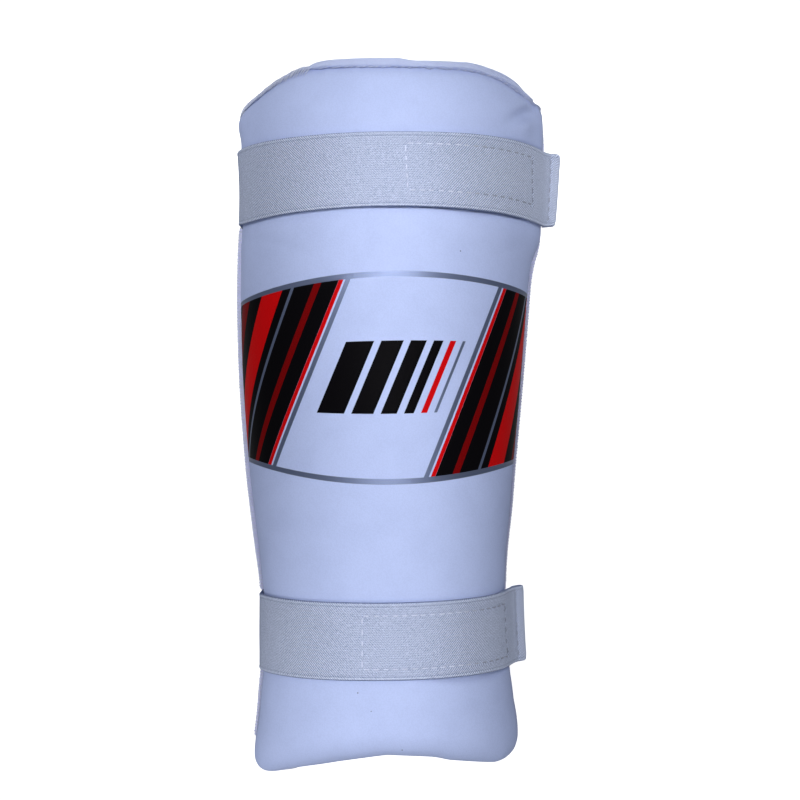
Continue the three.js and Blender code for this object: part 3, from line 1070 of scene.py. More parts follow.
class Workbench:
    """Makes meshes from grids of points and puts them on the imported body."""

    def __init__(self, frame: Frame) -> None:
        """Sets up the bench.

        Args:
            frame: Where the guard lies in the part's frame.
        """
        self.frame = frame

    def piece(self, name: str, points: Grid, faces: Grid, chart: Optional[Grid],
              finish: bpy.types.Material) -> bpy.types.Object:
        """Makes a piece that rides on the guard.

        Args:
            name: The piece's name.
            points: Its points in the guard's millimetres.
            faces: Its four-sided faces.
            chart: Two places for each point on the piece's flat chart.
            finish: Its material.

        Returns:
            The new object.
        """
        mesh = bpy.data.meshes.new(name)
        mesh.from_pydata(self.frame.place(points).tolist(), [], faces.tolist())
        if chart is not None:
            corner = np.empty(len(mesh.loops), np.int32)
            mesh.loops.foreach_get("vertex_index", corner)
            layer = mesh.uv_layers.new(name="chart")
            layer.data.foreach_set("uv", np.asarray(chart, np.float32)[corner].ravel())
        mesh.validate()
        mesh.shade_smooth()
        mesh.materials.append(finish)
        made = bpy.data.objects.new(name, mesh)
        bpy.context.scene.collection.objects.link(made)
        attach(made, "root")
        LOG.info("%s: %d points, %d faces", name, len(points), len(faces))
        return made

    @staticmethod
    def slab(front: Grid, back: Grid) -> tuple[Grid, Grid]:
        """Joins two faces over one grid into a closed solid.

        Args:
            front: Points of the front, by column and row.
            back: Points of the back, in the same order.

        Returns:
            All the points, and the four-sided faces.
        """
        columns, rows = front.shape[:2]
        number = np.arange(2 * columns * rows).reshape(2, columns, rows)
        f, b = number

        def quads(a: Grid, b_: Grid, c: Grid, d: Grid) -> Grid:
            """Stacks corners into faces."""
            return np.stack([a.ravel(), b_.ravel(), c.ravel(), d.ravel()], axis=1)

        faces = [
            quads(f[:-1, :-1], f[1:, :-1], f[1:, 1:], f[:-1, 1:]),
            quads(b[:-1, :-1], b[:-1, 1:], b[1:, 1:], b[1:, :-1]),
            quads(f[:-1, 0], b[:-1, 0], b[1:, 0], f[1:, 0]),
            quads(f[:-1, -1], f[1:, -1], b[1:, -1], b[:-1, -1]),
            quads(f[0, :-1], f[0, 1:], b[0, 1:], b[0, :-1]),
            quads(f[-1, :-1], b[-1, :-1], b[-1, 1:], f[-1, 1:]),
        ]
        points = np.concatenate([front.reshape(-1, 3), back.reshape(-1, 3)])
        return points, np.concatenate(faces)

    @staticmethod
    def tubes(paths: Grid, normals: Grid, radius: float, sides: int = 6) -> tuple[Grid, Grid, Grid]:
        """Makes one round thread along each path.

        Args:
            paths: Points of the paths, by path and step.
            normals: The direction out of the cloth for each path.
            radius: The thread's radius.
            sides: Points round the thread.

        Returns:
            Points, four-sided faces and charts of all the threads.
        """
        count, steps = paths.shape[:2]
        tangent = np.gradient(paths, axis=1)
        tangent /= np.linalg.norm(tangent, axis=-1, keepdims=True)
        side = np.cross(tangent, normals[:, None, :])
        side /= np.linalg.norm(side, axis=-1, keepdims=True)
        up = np.cross(side, tangent)
        angle = math.tau * np.arange(sides) / sides
        taper = np.ones(steps)
        taper[[0, -1]] = THREAD_TIP
        ring = np.cos(angle)[:, None] * up[:, :, None, :] + np.sin(angle)[:, None] * side[:, :, None, :]
        points = paths[:, :, None, :] + radius * taper[None, :, None, None] * ring
        number = np.arange(count * steps * sides).reshape(count, steps, sides)
        turned = np.roll(number, -1, axis=2)
        corners = [number[:, :-1], number[:, 1:], turned[:, 1:], turned[:, :-1]]
        faces = np.stack(corners, axis=-1).reshape(-1, 4)
        length = np.linalg.norm(np.diff(paths, axis=1), axis=-1).cumsum(axis=1)
        along = np.concatenate([np.zeros((count, 1)), length], axis=1)
        around = (angle / math.tau)[None, None, :]
        chart = np.stack(np.broadcast_arrays(along[:, :, None], around), axis=-1)
        return points.reshape(-1, 3), faces, chart.reshape(-1, 2)


def grid_normals(points: Grid) -> Grid:
    """Finds the outward direction at each point of a grid of columns and rows.

    Args:
        points: The grid's points.

    Returns:
        Unit vectors.
    """
    out = np.cross(np.gradient(points, axis=0), np.gradient(points, axis=1))
    return out / np.maximum(np.linalg.norm(out, axis=-1, keepdims=True), 1e-9)


def resample(values: Grid, columns: Grid, rows: Grid) -> Grid:
    """Reads a coarse grid at fractional places.

    Args:
        values: The coarse grid.
        columns: Fractional column numbers.
        rows: Fractional row numbers.

    Returns:
        The values on the fine grid of those columns and rows.
    """
    c = np.clip(np.floor(columns).astype(int), 0, values.shape[0] - 2)
    r = np.clip(np.floor(rows).astype(int), 0, values.shape[1] - 2)
    s = smoothstep(columns - c, 0.0, 1.0)[:, None]
    t = smoothstep(rows - r, 0.0, 1.0)[None, :]
    near = lerp(values[np.ix_(c, r)], values[np.ix_(c + 1, r)], s)
    far = lerp(values[np.ix_(c, r + 1)], values[np.ix_(c + 1, r + 1)], s)
    return lerp(near, far, t)


class Crease(NamedTuple):
    """A soft crease in the cover: middle, length, width, turn in degrees from across, and depth."""

    x: float
    y: float
    length: float
    width: float
    turn: float
    depth: float


SWELLING: Mapping[str, float] = {
    "quality": 6, "mass": 0.3, "tension_stiffness": 40.0, "compression_stiffness": 30.0,
    "shear_stiffness": 15.0, "bending_stiffness": 2.0, "air_damping": 4.0, "pin_stiffness": 2.0}


@dataclass
class FrontPad:
    """The padded shell: leathercloth drawn over foam, swollen between its seams and straps."""

    shape: PadShape
    bench: Workbench
    band: PrintedBand
    columns: int = 161
    rows: int = 261
    crowding: float = 1.25
    pucker: tuple[float, float] = (0.3, 0.06)
    pucker_reach: float = 3.2
    seam_dip: tuple[float, float] = (1.0, 0.3)
    dip_reach: float = 2.2
    bulge: float = 0.3
    bulge_from: float = 5.0
    bulge_reach: float = 6.0
    slack: float = 0.4
    slack_reach: float = 5.0
    lip: float = 0.5
    lip_width: float = 2.2
    swell_columns: int = 53
    swell_rows: int = 105
    swell_steps: int = 20
    swell_hold: float = 0.02
    swell_cap: float = 1.0
    pressure: float = 16.0
    creases: tuple[Crease, ...] = (
        Crease(-50.0, 75.0, 11.0, 2.4, -14.0, 0.35), Crease(-40.0, 71.5, 12.0, 2.6, -20.0, 0.3),
        Crease(54.0, 125.2, 7.5, 3.0, 33.0, 3.4), Crease(60.0, 121.0, 6.5, 4.5, 90.0, 2.4),
        Crease(50.0, 72.0, 9.0, 2.2, 24.0, 0.35))

    def grid(self, columns: int, rows: int) -> tuple[Grid, Grid]:
        """Spreads a grid over the cover, closer towards the seams.

        Args:
            columns: Number of columns across.
            rows: Number of rows along.

        Returns:
            u and y of its points, by column and row.
        """
        u = np.linspace(-1.0, 1.0, columns)
        spread = np.linspace(-1.0, 1.0, rows)
        eased = np.sign(spread) * (1.0 - (1.0 - np.abs(spread)) ** self.crowding)
        middle = (self.shape.top + self.shape.bottom) / 2
        row = middle + eased * (self.shape.top - self.shape.bottom) / 2
        u_grid, row_grid = np.meshgrid(u, row, indexing="ij")
        return u_grid, self.shape.row_in_column(row_grid, u_grid)

    def relief(self, u: Grid, y: Grid, x: Grid) -> Grid:
        """Works out the small dips and swellings of the cover.

        Args:
            u: Place across.
            y: Place along the arm.
            x: The plain shape's x there.

        Returns:
            How far the cover lies below its plain shape.
        """
        depth = np.full(u.shape, self.slack)
        wave = PUCKER_WAVE(self.shape.around(u))
        to_seams = (self.shape.top_seam(u) - y, y - self.shape.bottom_seam(u))
        for to_seam, pucker, dip in zip(to_seams, self.pucker, self.seam_dip):
            held = hump(to_seam, self.pucker_reach)
            depth += pucker * held * wave - self.slack * hump(to_seam, self.slack_reach)
            depth += dip * hump(to_seam, self.dip_reach)
        for strap in self.shape.straps:
            beside = np.abs(y - strap.y) - self.shape.sloped_half
            swollen = hump(beside - self.bulge_from, self.bulge_reach)
            depth -= self.bulge * swollen * (beside > -self.bulge_reach)
            depth -= self.slack * self.shape.pressed(y, strap)
        for crease in self.creases:
            turn = math.radians(crease.turn)
            dx, dy = x - crease.x, y - crease.y
            along = dx * math.cos(turn) + dy * math.sin(turn)
            across = dy * math.cos(turn) - dx * math.sin(turn)
            lie = hump(along, crease.length)
            fold = hump(across, crease.width) - self.lip * hump(across, self.lip_width * crease.width)
            depth += crease.depth * lie * fold
        return depth

    def points(self, u: Grid, y: Grid) -> Grid:
        """Places the cover before it swells.

        Args:
            u: Place across.
            y: Place along the arm.

        Returns:
            The points.
        """
        plain = self.shape.cover_depth(u, y)
        x, _ = self.shape.section(u, y, plain)
        x, z = self.shape.section(u, y, plain + self.relief(u, y, x))
        return np.stack([x, y, z], axis=-1)

    def swell(self) -> Grid:
        """Blows a coarse copy of the cover up with Blender's cloth, held at its seams and under the straps.

        Returns:
            How far each point of the coarse grid moves outwards, by column and row.
        """
        columns, rows = self.swell_columns, self.swell_rows
        u, y = self.grid(columns, rows)
        front = self.points(u, y)
        x, z = self.shape.section(u, y, self.shape.thickness)
        points, faces = Workbench.slab(front, np.stack([x, y, z], axis=-1))
        mesh = bpy.data.meshes.new("swelling_cover")
        mesh.from_pydata((points * MM).tolist(), [], faces.tolist())
        body = bpy.data.objects.new("swelling_cover", mesh)
        bpy.context.scene.collection.objects.link(body)
        held = np.ones((2, columns, rows))
        strapped = np.max([self.shape.pressed(y, strap) for strap in self.shape.straps], axis=0)
        held[0, 1:-1, 1:-1] = np.maximum(strapped[1:-1, 1:-1], self.swell_hold)
        group = body.vertex_groups.new(name="held")
        for number, weight in enumerate(held.ravel().tolist()):
            group.add([number], weight, "REPLACE")
        cloth = body.modifiers.new("swelling", "CLOTH")
        for name, value in SWELLING.items():
            setattr(cloth.settings, name, value)
        cloth.settings.vertex_group_mass = group.name
        cloth.settings.use_pressure = True
        cloth.settings.uniform_pressure_force = self.pressure
        cloth.settings.effector_weights.gravity = 0.0
        cloth.collision_settings.use_collision = False
        scene = bpy.context.scene
        for step in range(1, self.swell_steps + 1):
            scene.frame_set(step)
        settled = body.evaluated_get(bpy.context.evaluated_depsgraph_get()).to_mesh()
        moved = np.empty(3 * len(points))
        settled.vertices.foreach_get("co", moved)
        scene.frame_set(1)
        bpy.data.objects.remove(body)
        bpy.data.meshes.remove(mesh)
        shift = moved.reshape(-1, 3)[: columns * rows].reshape(columns, rows, 3) / MM - front
        outward = np.einsum("crk,crk->cr", shift, grid_normals(front))
        LOG.info("cover swells by %.2f to %.2f mm", outward.min(), outward.max())
        return np.clip(outward, -self.swell_cap, self.swell_cap)

    def chart(self, points: Grid) -> Grid:
        """Lays the cover flat for its print.

        Args:
            points: The cover's points, by column and row.

        Returns:
            Place along the cover from the crest, and from the band's lower line to its upper one.
        """
        step = np.linalg.norm(np.diff(points[:, :, ::2], axis=0), axis=-1)
        across = np.concatenate([np.zeros((1, points.shape[1])), step.cumsum(axis=0)])
        across = across - across[points.shape[0] // 2]
        return np.stack([across, self.band.up(points[..., 0], points[..., 1])], axis=-1)

    def build(self, finish: bpy.types.Material) -> bpy.types.Object:
        """Makes the pad.

        Args:
            finish: The cover's material.

        Returns:
            The pad's object.
        """
        u, y = self.grid(self.columns, self.rows)
        front = self.points(u, y)
        coarse = self.swell()
        columns = np.linspace(0, coarse.shape[0] - 1, self.columns)
        rows = np.linspace(0, coarse.shape[1] - 1, self.rows)
        front = front + resample(coarse, columns, rows)[..., None] * grid_normals(front)
        x, z = self.shape.section(u, y, self.shape.thickness)
        back = np.stack([x, y, z], axis=-1)
        points, faces = Workbench.slab(front, back)
        chart = np.concatenate([self.chart(front).reshape(-1, 2), self.chart(back).reshape(-1, 2)])
        pad = self.bench.piece("padded_cover", points, faces, chart, finish)
        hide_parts("front_pad")
        return pad


@dataclass
class BackPanel:
    """The lining panel behind the pad, whose rolled rim shows past the pad's seams."""

    shape: PadShape
    bench: Workbench
    thickness: float = 2.0
    rim_drop: float = 2.1
    rim_tuck: float = -1.6
    rim_bottom: float = 0.25
    rim_proud: float = 0.9
    rim_sunk: float = 0.5
    front_share: tuple[float, float] = (0.6, 0.84)
    roll: float = 1.05
    end_roll: float = 0.8
    flat_share: float = 0.6
    joint: float = 0.05
    joint_step: float = 1.3
    joint_ease: float = 0.035
    rim_least: float = 0.3
    roll_share: float = 0.8
    uneven: float = 0.05
    rumple: float = 0.35
    bottom_rumple: float = 0.06
    rumple_left: float = 0.7
    rumple_grows: tuple[float, float] = (0.2, 0.45)
    tuck_ease: tuple[float, float] = (12.5, 15.0)
    hollow_share: float = 0.3
    corner_tuck: float = 3.2
    corner_length: float = 5.0
    rim_steps: int = 9
    columns: int = 121
    rows: int = 221

    def _lines(self, inside: Grid) -> tuple[Grid, Grid]:
        """Adds the rim's lines at both ends of a run of grid lines.

        Args:
            inside: Places of the grid lines inside the seams.

        Returns:
            The places of all lines, and each line's share of the rim, or -1 inside the seams.
        """
        rim = np.linspace(0.0, 1.0, self.rim_steps)
        places = np.concatenate([np.full(len(rim), inside[0]), inside, np.full(len(rim), inside[-1])])
        return places, np.concatenate([rim[::-1], np.full(len(inside), -1.0), rim])

    def _round(self, share: Grid) -> tuple[Grid, Grid]:
        """Follows the rim's section from its flat on to its rounded edge.

        Args:
            share: Share of the rim, from 0 to 1.

        Returns:
            The share of the flat that is passed, and the angle turned round the edge.
        """
        flat = np.clip(share / self.flat_share, 0.0, 1.0)
        turn = np.clip((share - self.flat_share) / (1 - self.flat_share), 0.0, 1.0) * QUARTER_TURN
        return flat, turn

    def _top_width(self, u: Grid) -> Grid:
        """Finds the top rim's uneven width, with the step where its two lengths meet.

        Args:
            u: Place across.

        Returns:
            The width past the top seam.
        """
        low, high = self.joint - self.joint_ease, self.joint + self.joint_ease
        joint = self.joint_step * (0.5 - smoothstep(u, low, high))
        uneven = 1.0 + self.uneven * RIM_WIDTH_WAVE(self.shape.around(u))
        width = self.shape.rim_top(u)
        stepped = width * uneven + joint * smoothstep(width, 0.5, 2.0)
        return np.maximum(stepped - self.shape.seam_wander(u), self.rim_least)

    def _along(self, u: Grid, row: Grid, end: Grid) -> Grid:
        """Finds how far along the arm each grid point lies, rim included.

        Args:
            u: Place across.
            row: Row on the crest line.
            end: Share of the end rim, or -1 inside the end seams.

        Returns:
            The places along the arm.
        """
        flat, turn = self._round(np.maximum(end, 0.0))
        at_top = row > 0
        width = np.where(at_top, self._top_width(u), self.rim_bottom)
        radius = np.minimum(self.end_roll, self.roll_share * width)
        past = (width - radius) * flat + radius * np.sin(turn)
        past = np.where(end > 0, past, 0.0)
        return self.shape.row_in_column(row, u) + np.where(at_top, past, -past)

    def edge(self, u: Grid, y: Grid) -> Grid:
        """Finds the side rim's reach from the crest line, drawn in at the straps and at the end corners.

        Args:
            u: Place across.
            y: Place along the arm.

        Returns:
            The reach.
        """
        clear = smoothstep(self.shape.beside_straps(y), *self.tuck_ease)
        past = lerp(self.rim_tuck, self.shape.rim_side(u, y), clear)
        to_end = np.minimum(self.shape.top_seam(u) - y, y - self.shape.bottom_seam(u))
        tuck = self.corner_tuck * (1.0 - smoothstep(to_end, -1.0, self.corner_length))
        return self.shape.reach(u, y) + past - tuck

    def _face(self, front: bool, u: Grid, side: Grid, row: Grid, end: Grid) -> Grid:
        """Places one face of the panel.

        Args:
            front: Whether it is the face towards the pad.
            u: Place across, by column and row.
            side: Share of the side rim, or -1 inside the long seams.
            row: Row on the crest line.
            end: Share of the end rim, or -1 inside the end seams.

        Returns:
            The points.
        """
        y = self._along(u, row, end)
        _, end_turn = self._round(np.maximum(end, 0.0))
        fall = self.end_roll * (1 - np.cos(end_turn))
        thin = self.shape.thickness + self.shape.gap
        deep = thin + self.thickness
        on_front = 1.0 - smoothstep(np.abs(u), *self.front_share)
        end_depth = np.where(row > 0, self.shape.round_depth(self.shape.top_round, u),
                             self.shape.round_depth(self.shape.bottom_round, u))
        end_depth = end_depth - np.where(row > 0, lerp(-self.rim_sunk, self.rim_proud, on_front),
                                         -self.rim_sunk)
        rumple = np.where(row > 0, self.rumple, self.bottom_rumple)
        rumple = rumple * (self.rumple_left + smoothstep(u, *self.rumple_grows))
        edging = on_front * (1.0 - np.clip(end, 0.0, 1.0) ** 2)
        waves = sum(wave(self.shape.around(u)) for wave in RIM_RUMPLE_WAVES)
        end_depth = end_depth + edging * rumple * waves
        depth = np.where(end > 0, end_depth + fall, thin) if front else np.where(end > 0, deep - fall, deep)
        x, z = self.shape.section(u, y, depth)
        reach = self.shape.reach(u, y)
        edge = self.edge(u, y)
        flat, turn = self._round(np.maximum(side, 0.0))
        top = self.shape.seam_height - self.shape.gap
        start = reach - self.shape.depth_at_seam(thin if front else deep)
        out = lerp(start, edge - self.roll, flat) + self.roll * np.sin(turn)
        drop = self.roll * (1 - np.cos(turn))
        under = lerp(top, top - self.rim_drop, smoothstep(flat, 0.0, self.hollow_share)) + drop
        sign = np.where(u < 0, -1.0, 1.0)
        x = np.where(side >= 0, sign * out, x)
        z = np.where(side >= 0, top - drop if front else under, z)
        return np.stack([x, y, z], axis=-1)

    def build(self, finish: bpy.types.Material) -> bpy.types.Object:
        """Makes the panel.

        Args:
            finish: Its material.

        Returns:
            The panel's object.
        """
        columns, side = self._lines(np.linspace(-1.0, 1.0, self.columns))
        rows, end = self._lines(np.linspace(self.shape.bottom, self.shape.top, self.rows))
        u, row = np.meshgrid(columns, rows, indexing="ij")
        side_grid, end_grid = np.meshgrid(side, end, indexing="ij")
        front = self._face(True, u, side_grid, row, end_grid)
        back = self._face(False, u, side_grid, row, end_grid)
        points, faces = Workbench.slab(front, back)
        panel = self.bench.piece("lining_panel", points, faces, None, finish)
        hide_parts("back_panel")
        return panel


class StrapPoint(NamedTuple):
    """A place on a strap: distance along it from its sewn end, and across it from its middle."""

    along: float
    across: float


EDGE_LINES = np.array([0.0, 0.05, 0.16, 0.34, 0.56, 0.8, 1.1, 1.5, 2.0])


@dataclass
class ElasticStrap:
    """An elastic strap, sewn under the right edge, drawn round the left side and over the front to a hem."""

    plan: StrapPlan
    shape: PadShape
    bench: Workbench
    thickness: float = 1.5
    bend: float = 1.5
    tuck: float = -1.6
    ridge: float = 0.55
    fold_gap: float = 0.05
    flare_power: float = 3.5
    corner: float = 0.8
    corner_width: float = 2.4
    inner_edge: float = 2.6
    inner_lines: int = 35
    back_steps: int = 60
    bend_steps: int = 8
    wall_steps: int = 14
    front_steps: int = 170
    free_steps: int = 34
    fold_steps: int = 11
    hem_steps: int = 10
    front_run: tuple[int, int] = (80, 280)
    least_body: float = 0.06
    cord_height: float = 0.1
    cord_place: float = 0.8
    cord_width: float = 0.45
    furrow: float = 0.08
    furrow_place: float = 1.6
    furrow_width: float = 0.4
    groove: float = 0.32
    groove_width: float = 0.55
    puff: float = 0.12
    puff_place: float = 1.5
    puff_width: float = 1.0
    hem_ease: float = 0.8
    tip_ease: float = 0.6
    stitch_inset: float = 1.6

    def __post_init__(self) -> None:
        """Works out the strap's middle surface and its flat chart."""
        width = 2 * self.shape.strap_half
        inside = np.linspace(self.inner_edge, width - self.inner_edge, self.inner_lines)
        across = np.concatenate([EDGE_LINES, inside, (width - EDGE_LINES)[::-1]])
        self.across = across - self.shape.strap_half
        self.middle, self.normal = self._middle()
        self.along = distance_along(self.middle[len(across) // 2])
        self.tip = float(self.along[-1]) - self.plan.hem
        self.outer, self.inner = self._faces()

    def _lie(self, progress: Grid) -> Grid:
        """Finds where the strap's lines lie along the arm.

        Args:
            progress: How far round the strap is, from the left side (-1) over the crest (0) to the tip (1).

        Returns:
            Places along the arm, by line across and step along.
        """
        half = Curve(STRAP_STATIONS, self.plan.half)(progress)[None, :]
        drift = Curve(STRAP_STATIONS, self.plan.drift)(progress)[None, :]
        return self.plan.y + drift + self.across[:, None] / self.shape.strap_half * half

    @property
    def fold_radius(self) -> float:
        """Gives the radius of the hem's fold."""
        return self.thickness / 2 + self.fold_gap

    def _wrap(self, u: Grid, y: Grid) -> tuple[Grid, Grid]:
        """Follows the strap flat behind the hollow, up the left side and over the front.

        Args:
            u: Places across on the front, by line across and step along.
            y: Places along the arm on the front.

        Returns:
            x and z of the strap's inner face, from its sewn end to where it leaves the pad.
        """
        front_x, front_z = self.shape.section(u, y, 0.0)
        left = -self.shape.column("left", y[:, :1])
        sewn = self.shape.column("right", y[:, :1]) + self.tuck
        flat = lerp(sewn, left + self.bend, np.linspace(0.0, 1.0, self.back_steps)[None, :])
        turn = np.linspace(0.0, QUARTER_TURN, self.bend_steps)[None, 1:]
        wall = np.linspace(self.thickness + self.bend, self.shape.widest_height, self.wall_steps)[None, 1:-1]
        bend_x = left + self.bend * (1 - np.sin(turn))
        bend_z = self.thickness + self.bend * (1 - np.cos(turn)) + 0.0 * left
        xs = np.concatenate([flat, bend_x, left + 0.0 * wall, front_x], axis=1)
        zs = np.concatenate([0.0 * flat + self.thickness, bend_z, wall + 0.0 * left, front_z], axis=1)
        return xs, zs

    def _flare(self, xs: Grid, zs: Grid, lower: Grid) -> tuple[Grid, Grid, Grid]:
        """Runs the strap on past the pad, where it lifts towards its tip.

        Args:
            xs: x of the strap up to where it leaves the pad, by line across and step along.
            zs: z of the same.
            lower: How far below the strap's middle each line lies, as a share of its width.

        Returns:
            x and z of the strap up to its fold, and the direction that each line has there.
        """
        half = self.shape.strap_half
        corner = self.corner * smoothstep(np.abs(self.across[:, None]), half - self.corner_width, half)
        straight = self.plan.free - self.plan.slant * lower - corner - self.fold_radius - self.thickness / 2
        stops = straight * np.linspace(0.0, 1.0, self.free_steps)[None, 1:]
        slope = np.arctan2(zs[:, -1:] - zs[:, -2:-1], xs[:, -1:] - xs[:, -2:-1])
        angle = slope + math.radians(self.plan.flare) * (stops / straight) ** self.flare_power
        step = straight / (self.free_steps - 1)
        line_x = np.concatenate([xs, xs[:, -1:] + step * np.cos(angle).cumsum(axis=1)], axis=1)
        line_z = np.concatenate([zs, zs[:, -1:] + step * np.sin(angle).cumsum(axis=1)], axis=1)
        return line_x, line_z, np.stack([np.cos(angle[:, -1]), np.sin(angle[:, -1])], axis=-1)

    def _fold(self, line_x: Grid, line_z: Grid, heading: Grid) -> tuple[Grid, Grid]:
        """Takes the strap from its inner face to its middle, and folds its end back under as a hem.

        Args:
            line_x: x of the strap up to its fold, by line across and step along.
            line_z: z of the same.
            heading: The direction that each line has at the fold.

        Returns:
            x and z of the strap's middle, hem included.
        """
        radius = self.fold_radius
        out = np.stack([-heading[:, 1], heading[:, 0]], axis=-1)
        dx, dz = np.gradient(line_x, axis=1), np.gradient(line_z, axis=1)
        size = np.hypot(dx, dz)
        main_x = line_x - dz / size * self.thickness / 2
        main_z = line_z + dx / size * self.thickness / 2
        turn = np.linspace(0, math.pi, self.fold_steps)[None, 1:]
        centre = np.stack([line_x[:, -1], line_z[:, -1]], axis=-1) - out * self.fold_gap
        fold = (centre[:, None, :] + radius * np.cos(turn)[..., None] * out[:, None, :]
                + radius * np.sin(turn)[..., None] * heading[:, None, :])
        back = np.linspace(0.0, self.plan.hem - radius, self.hem_steps)[None, 1:]
        under = centre[:, None, :] - radius * out[:, None, :] - back[..., None] * heading[:, None, :]
        all_x = np.concatenate([main_x, fold[..., 0], under[..., 0]], axis=1)
        return all_x, np.concatenate([main_z, fold[..., 1], under[..., 1]], axis=1)

    def _middle(self) -> tuple[Grid, Grid]:
        """Finds the strap's middle surface, hem included, and the direction out of it.

        Returns:
            Points and unit vectors, by line across and step along.
        """
        shape, plan = self.shape, self.plan
        lower = -self.across[:, None] / (2 * shape.strap_half)
        share = np.linspace(0.0, 1.0, self.front_steps)
        u = lerp(-shape.side_share, plan.leaves + plan.twist * lower, share[None, :])
        middle_u = lerp(-shape.side_share, plan.leaves, share)
        progress = np.where(middle_u < 0, middle_u / shape.side_share, middle_u / plan.leaves * LEAVING)
        xs, zs = self._wrap(u, self._lie(progress))
        all_x, all_z = self._fold(*self._flare(xs, zs, lower))
        on_pad = xs.shape[1]
        middle_x = all_x[len(self.across) // 2]
        free_x, leaves_x = middle_x[on_pad:], float(middle_x[on_pad - 1])
        past = lerp(LEAVING, 1.0, (free_x - leaves_x) / (free_x.max() - leaves_x))
        behind = np.full(on_pad - self.front_steps, -1.0)
        all_y = self._lie(np.concatenate([behind, progress, past]))
        dx, dz = np.gradient(all_x, axis=1), np.gradient(all_z, axis=1)
        size = np.hypot(dx, dz)
        points = np.stack([all_x, all_y, all_z], axis=-1)
        return points, np.stack([-dz / size, np.zeros_like(dx), dx / size], axis=-1)

    def stitch_lines(self) -> list[list[StrapPoint]]:
        """Lists the lines of stitches that hold the hook tape and the hem.

        Returns:
            Lines of two places each.
        """
        patch_x, _ = self.shape.section(self.plan.patch_from, self.plan.y, 0.0)
        start = self.along_at(patch_x + self.stitch_inset)
        crosses = [self.tip - distance for distance in self.plan.seams_from_tip]
        high, low = self.plan.row_high, self.plan.row_low
        half = self.shape.strap_half - self.stitch_inset
        return [
            [StrapPoint(start, low), StrapPoint(start, high)],
            [StrapPoint(start, high), StrapPoint(crosses[0], high)],
            [StrapPoint(start, low), StrapPoint(crosses[0], low)],
            [StrapPoint(crosses[0], low), StrapPoint(crosses[0], high)],
            [StrapPoint(crosses[1], -half), StrapPoint(crosses[1], half)],
        ]

    def along_at(self, x: float) -> float:
        """Finds how far along the strap its front passes a place across the arm.

        Args:
            x: The place across the arm.

        Returns:
            The distance from the sewn end.
        """
        line = self.middle[len(self.across) // 2]
        front = slice(*self.front_run)
        return float(np.interp(x, line[front, 0], self.along[front]))

    def _faces(self) -> tuple[Grid, Grid]:
        """Gives the strap its thickness, corded edges and the grooves that its stitches pull.

        Returns:
            Points of the outer and the inner face, by line across and step along.
        """
        from_edge = (self.shape.strap_half - np.abs(self.across))[:, None]
        half = self.thickness / 2
        share = np.clip(1.0 - from_edge / half, 0.0, 1.0)
        body = half * np.maximum(np.sqrt(1.0 - share * share), self.least_body)
        cord = self.cord_height * hump(from_edge - self.cord_place, self.cord_width)
        relief = cord - self.furrow * hump(from_edge - self.furrow_place, self.furrow_width)
        relief = relief + np.zeros((1, len(self.along)))
        across, along = np.meshgrid(self.across, self.along, indexing="ij")
        for first, last in self.stitch_lines():
            run = np.array([last.along - first.along, last.across - first.across])
            length = np.hypot(*run)
            run = run / length
            da, dc = along - first.along, across - first.across
            passed = np.clip(da * run[0] + dc * run[1], 0.0, length)
            off = np.hypot(da - passed * run[0], dc - passed * run[1])
            puffed = self.puff * hump(off - self.puff_place, self.puff_width)
            relief = relief - self.groove * hump(off, self.groove_width) + puffed
        past_tip, hem = -(self.tip - along), -self.plan.hem
        relief = relief + self.ridge * smoothstep(past_tip, hem - self.hem_ease, hem + self.hem_ease)
        relief = relief * (1.0 - smoothstep(past_tip, -self.tip_ease, self.tip_ease))
        body = body[..., None]
        outer = self.middle + self.normal * (body + relief[..., None])
        return outer, self.middle - self.normal * body

    def locate(self, along: Grid, across: Grid) -> tuple[Grid, Grid]:
        """Finds places on the strap's outer face.

        Args:
            along: Distances along the strap.
            across: Distances from its middle.

        Returns:
            Points, and directions out of the face.
        """
        a = np.interp(along, self.along, np.arange(len(self.along)))
        c = np.interp(across, self.across, np.arange(len(self.across)))
        a0 = np.clip(np.floor(a).astype(int), 0, len(self.along) - 2)
        c0 = np.clip(np.floor(c).astype(int), 0, len(self.across) - 2)
        s, t = (a - a0)[..., None], (c - c0)[..., None]

        def read(grid: Grid) -> Grid:
            """Reads a grid between its points.

            Args:
                grid: The grid, by line across and step along.

            Returns:
                What it holds at the places.
            """
            near = lerp(grid[c0, a0], grid[c0 + 1, a0], t)
            far = lerp(grid[c0, a0 + 1], grid[c0 + 1, a0 + 1], t)
            return lerp(near, far, s)

        return read(self.outer), read(self.normal)

    def build(self, finish: bpy.types.Material) -> bpy.types.Object:
        """Makes the strap.

        Args:
            finish: Its material.

        Returns:
            The strap's object.
        """
        outer = self.outer.transpose(1, 0, 2)
        inner = self.inner.transpose(1, 0, 2)
        points, faces = Workbench.slab(outer, inner)
        along, across = np.meshgrid(self.along - self.along_at(0.0), self.across, indexing="ij")
        chart = np.stack([along, across], axis=-1).reshape(-1, 2)
        name = f"elastic_band_{self.plan.name}"
        strap = self.bench.piece(name, points, faces, np.concatenate([chart, chart]), finish)
        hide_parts(f"strap_{self.plan.name}")
        return strap


HOOK_REACH = np.array([0.0, 0.05, 0.35, 0.8, 1.0])
HOOK_HEIGHT = np.array([-0.1, 0.6, 1.0, 0.9, 0.55])


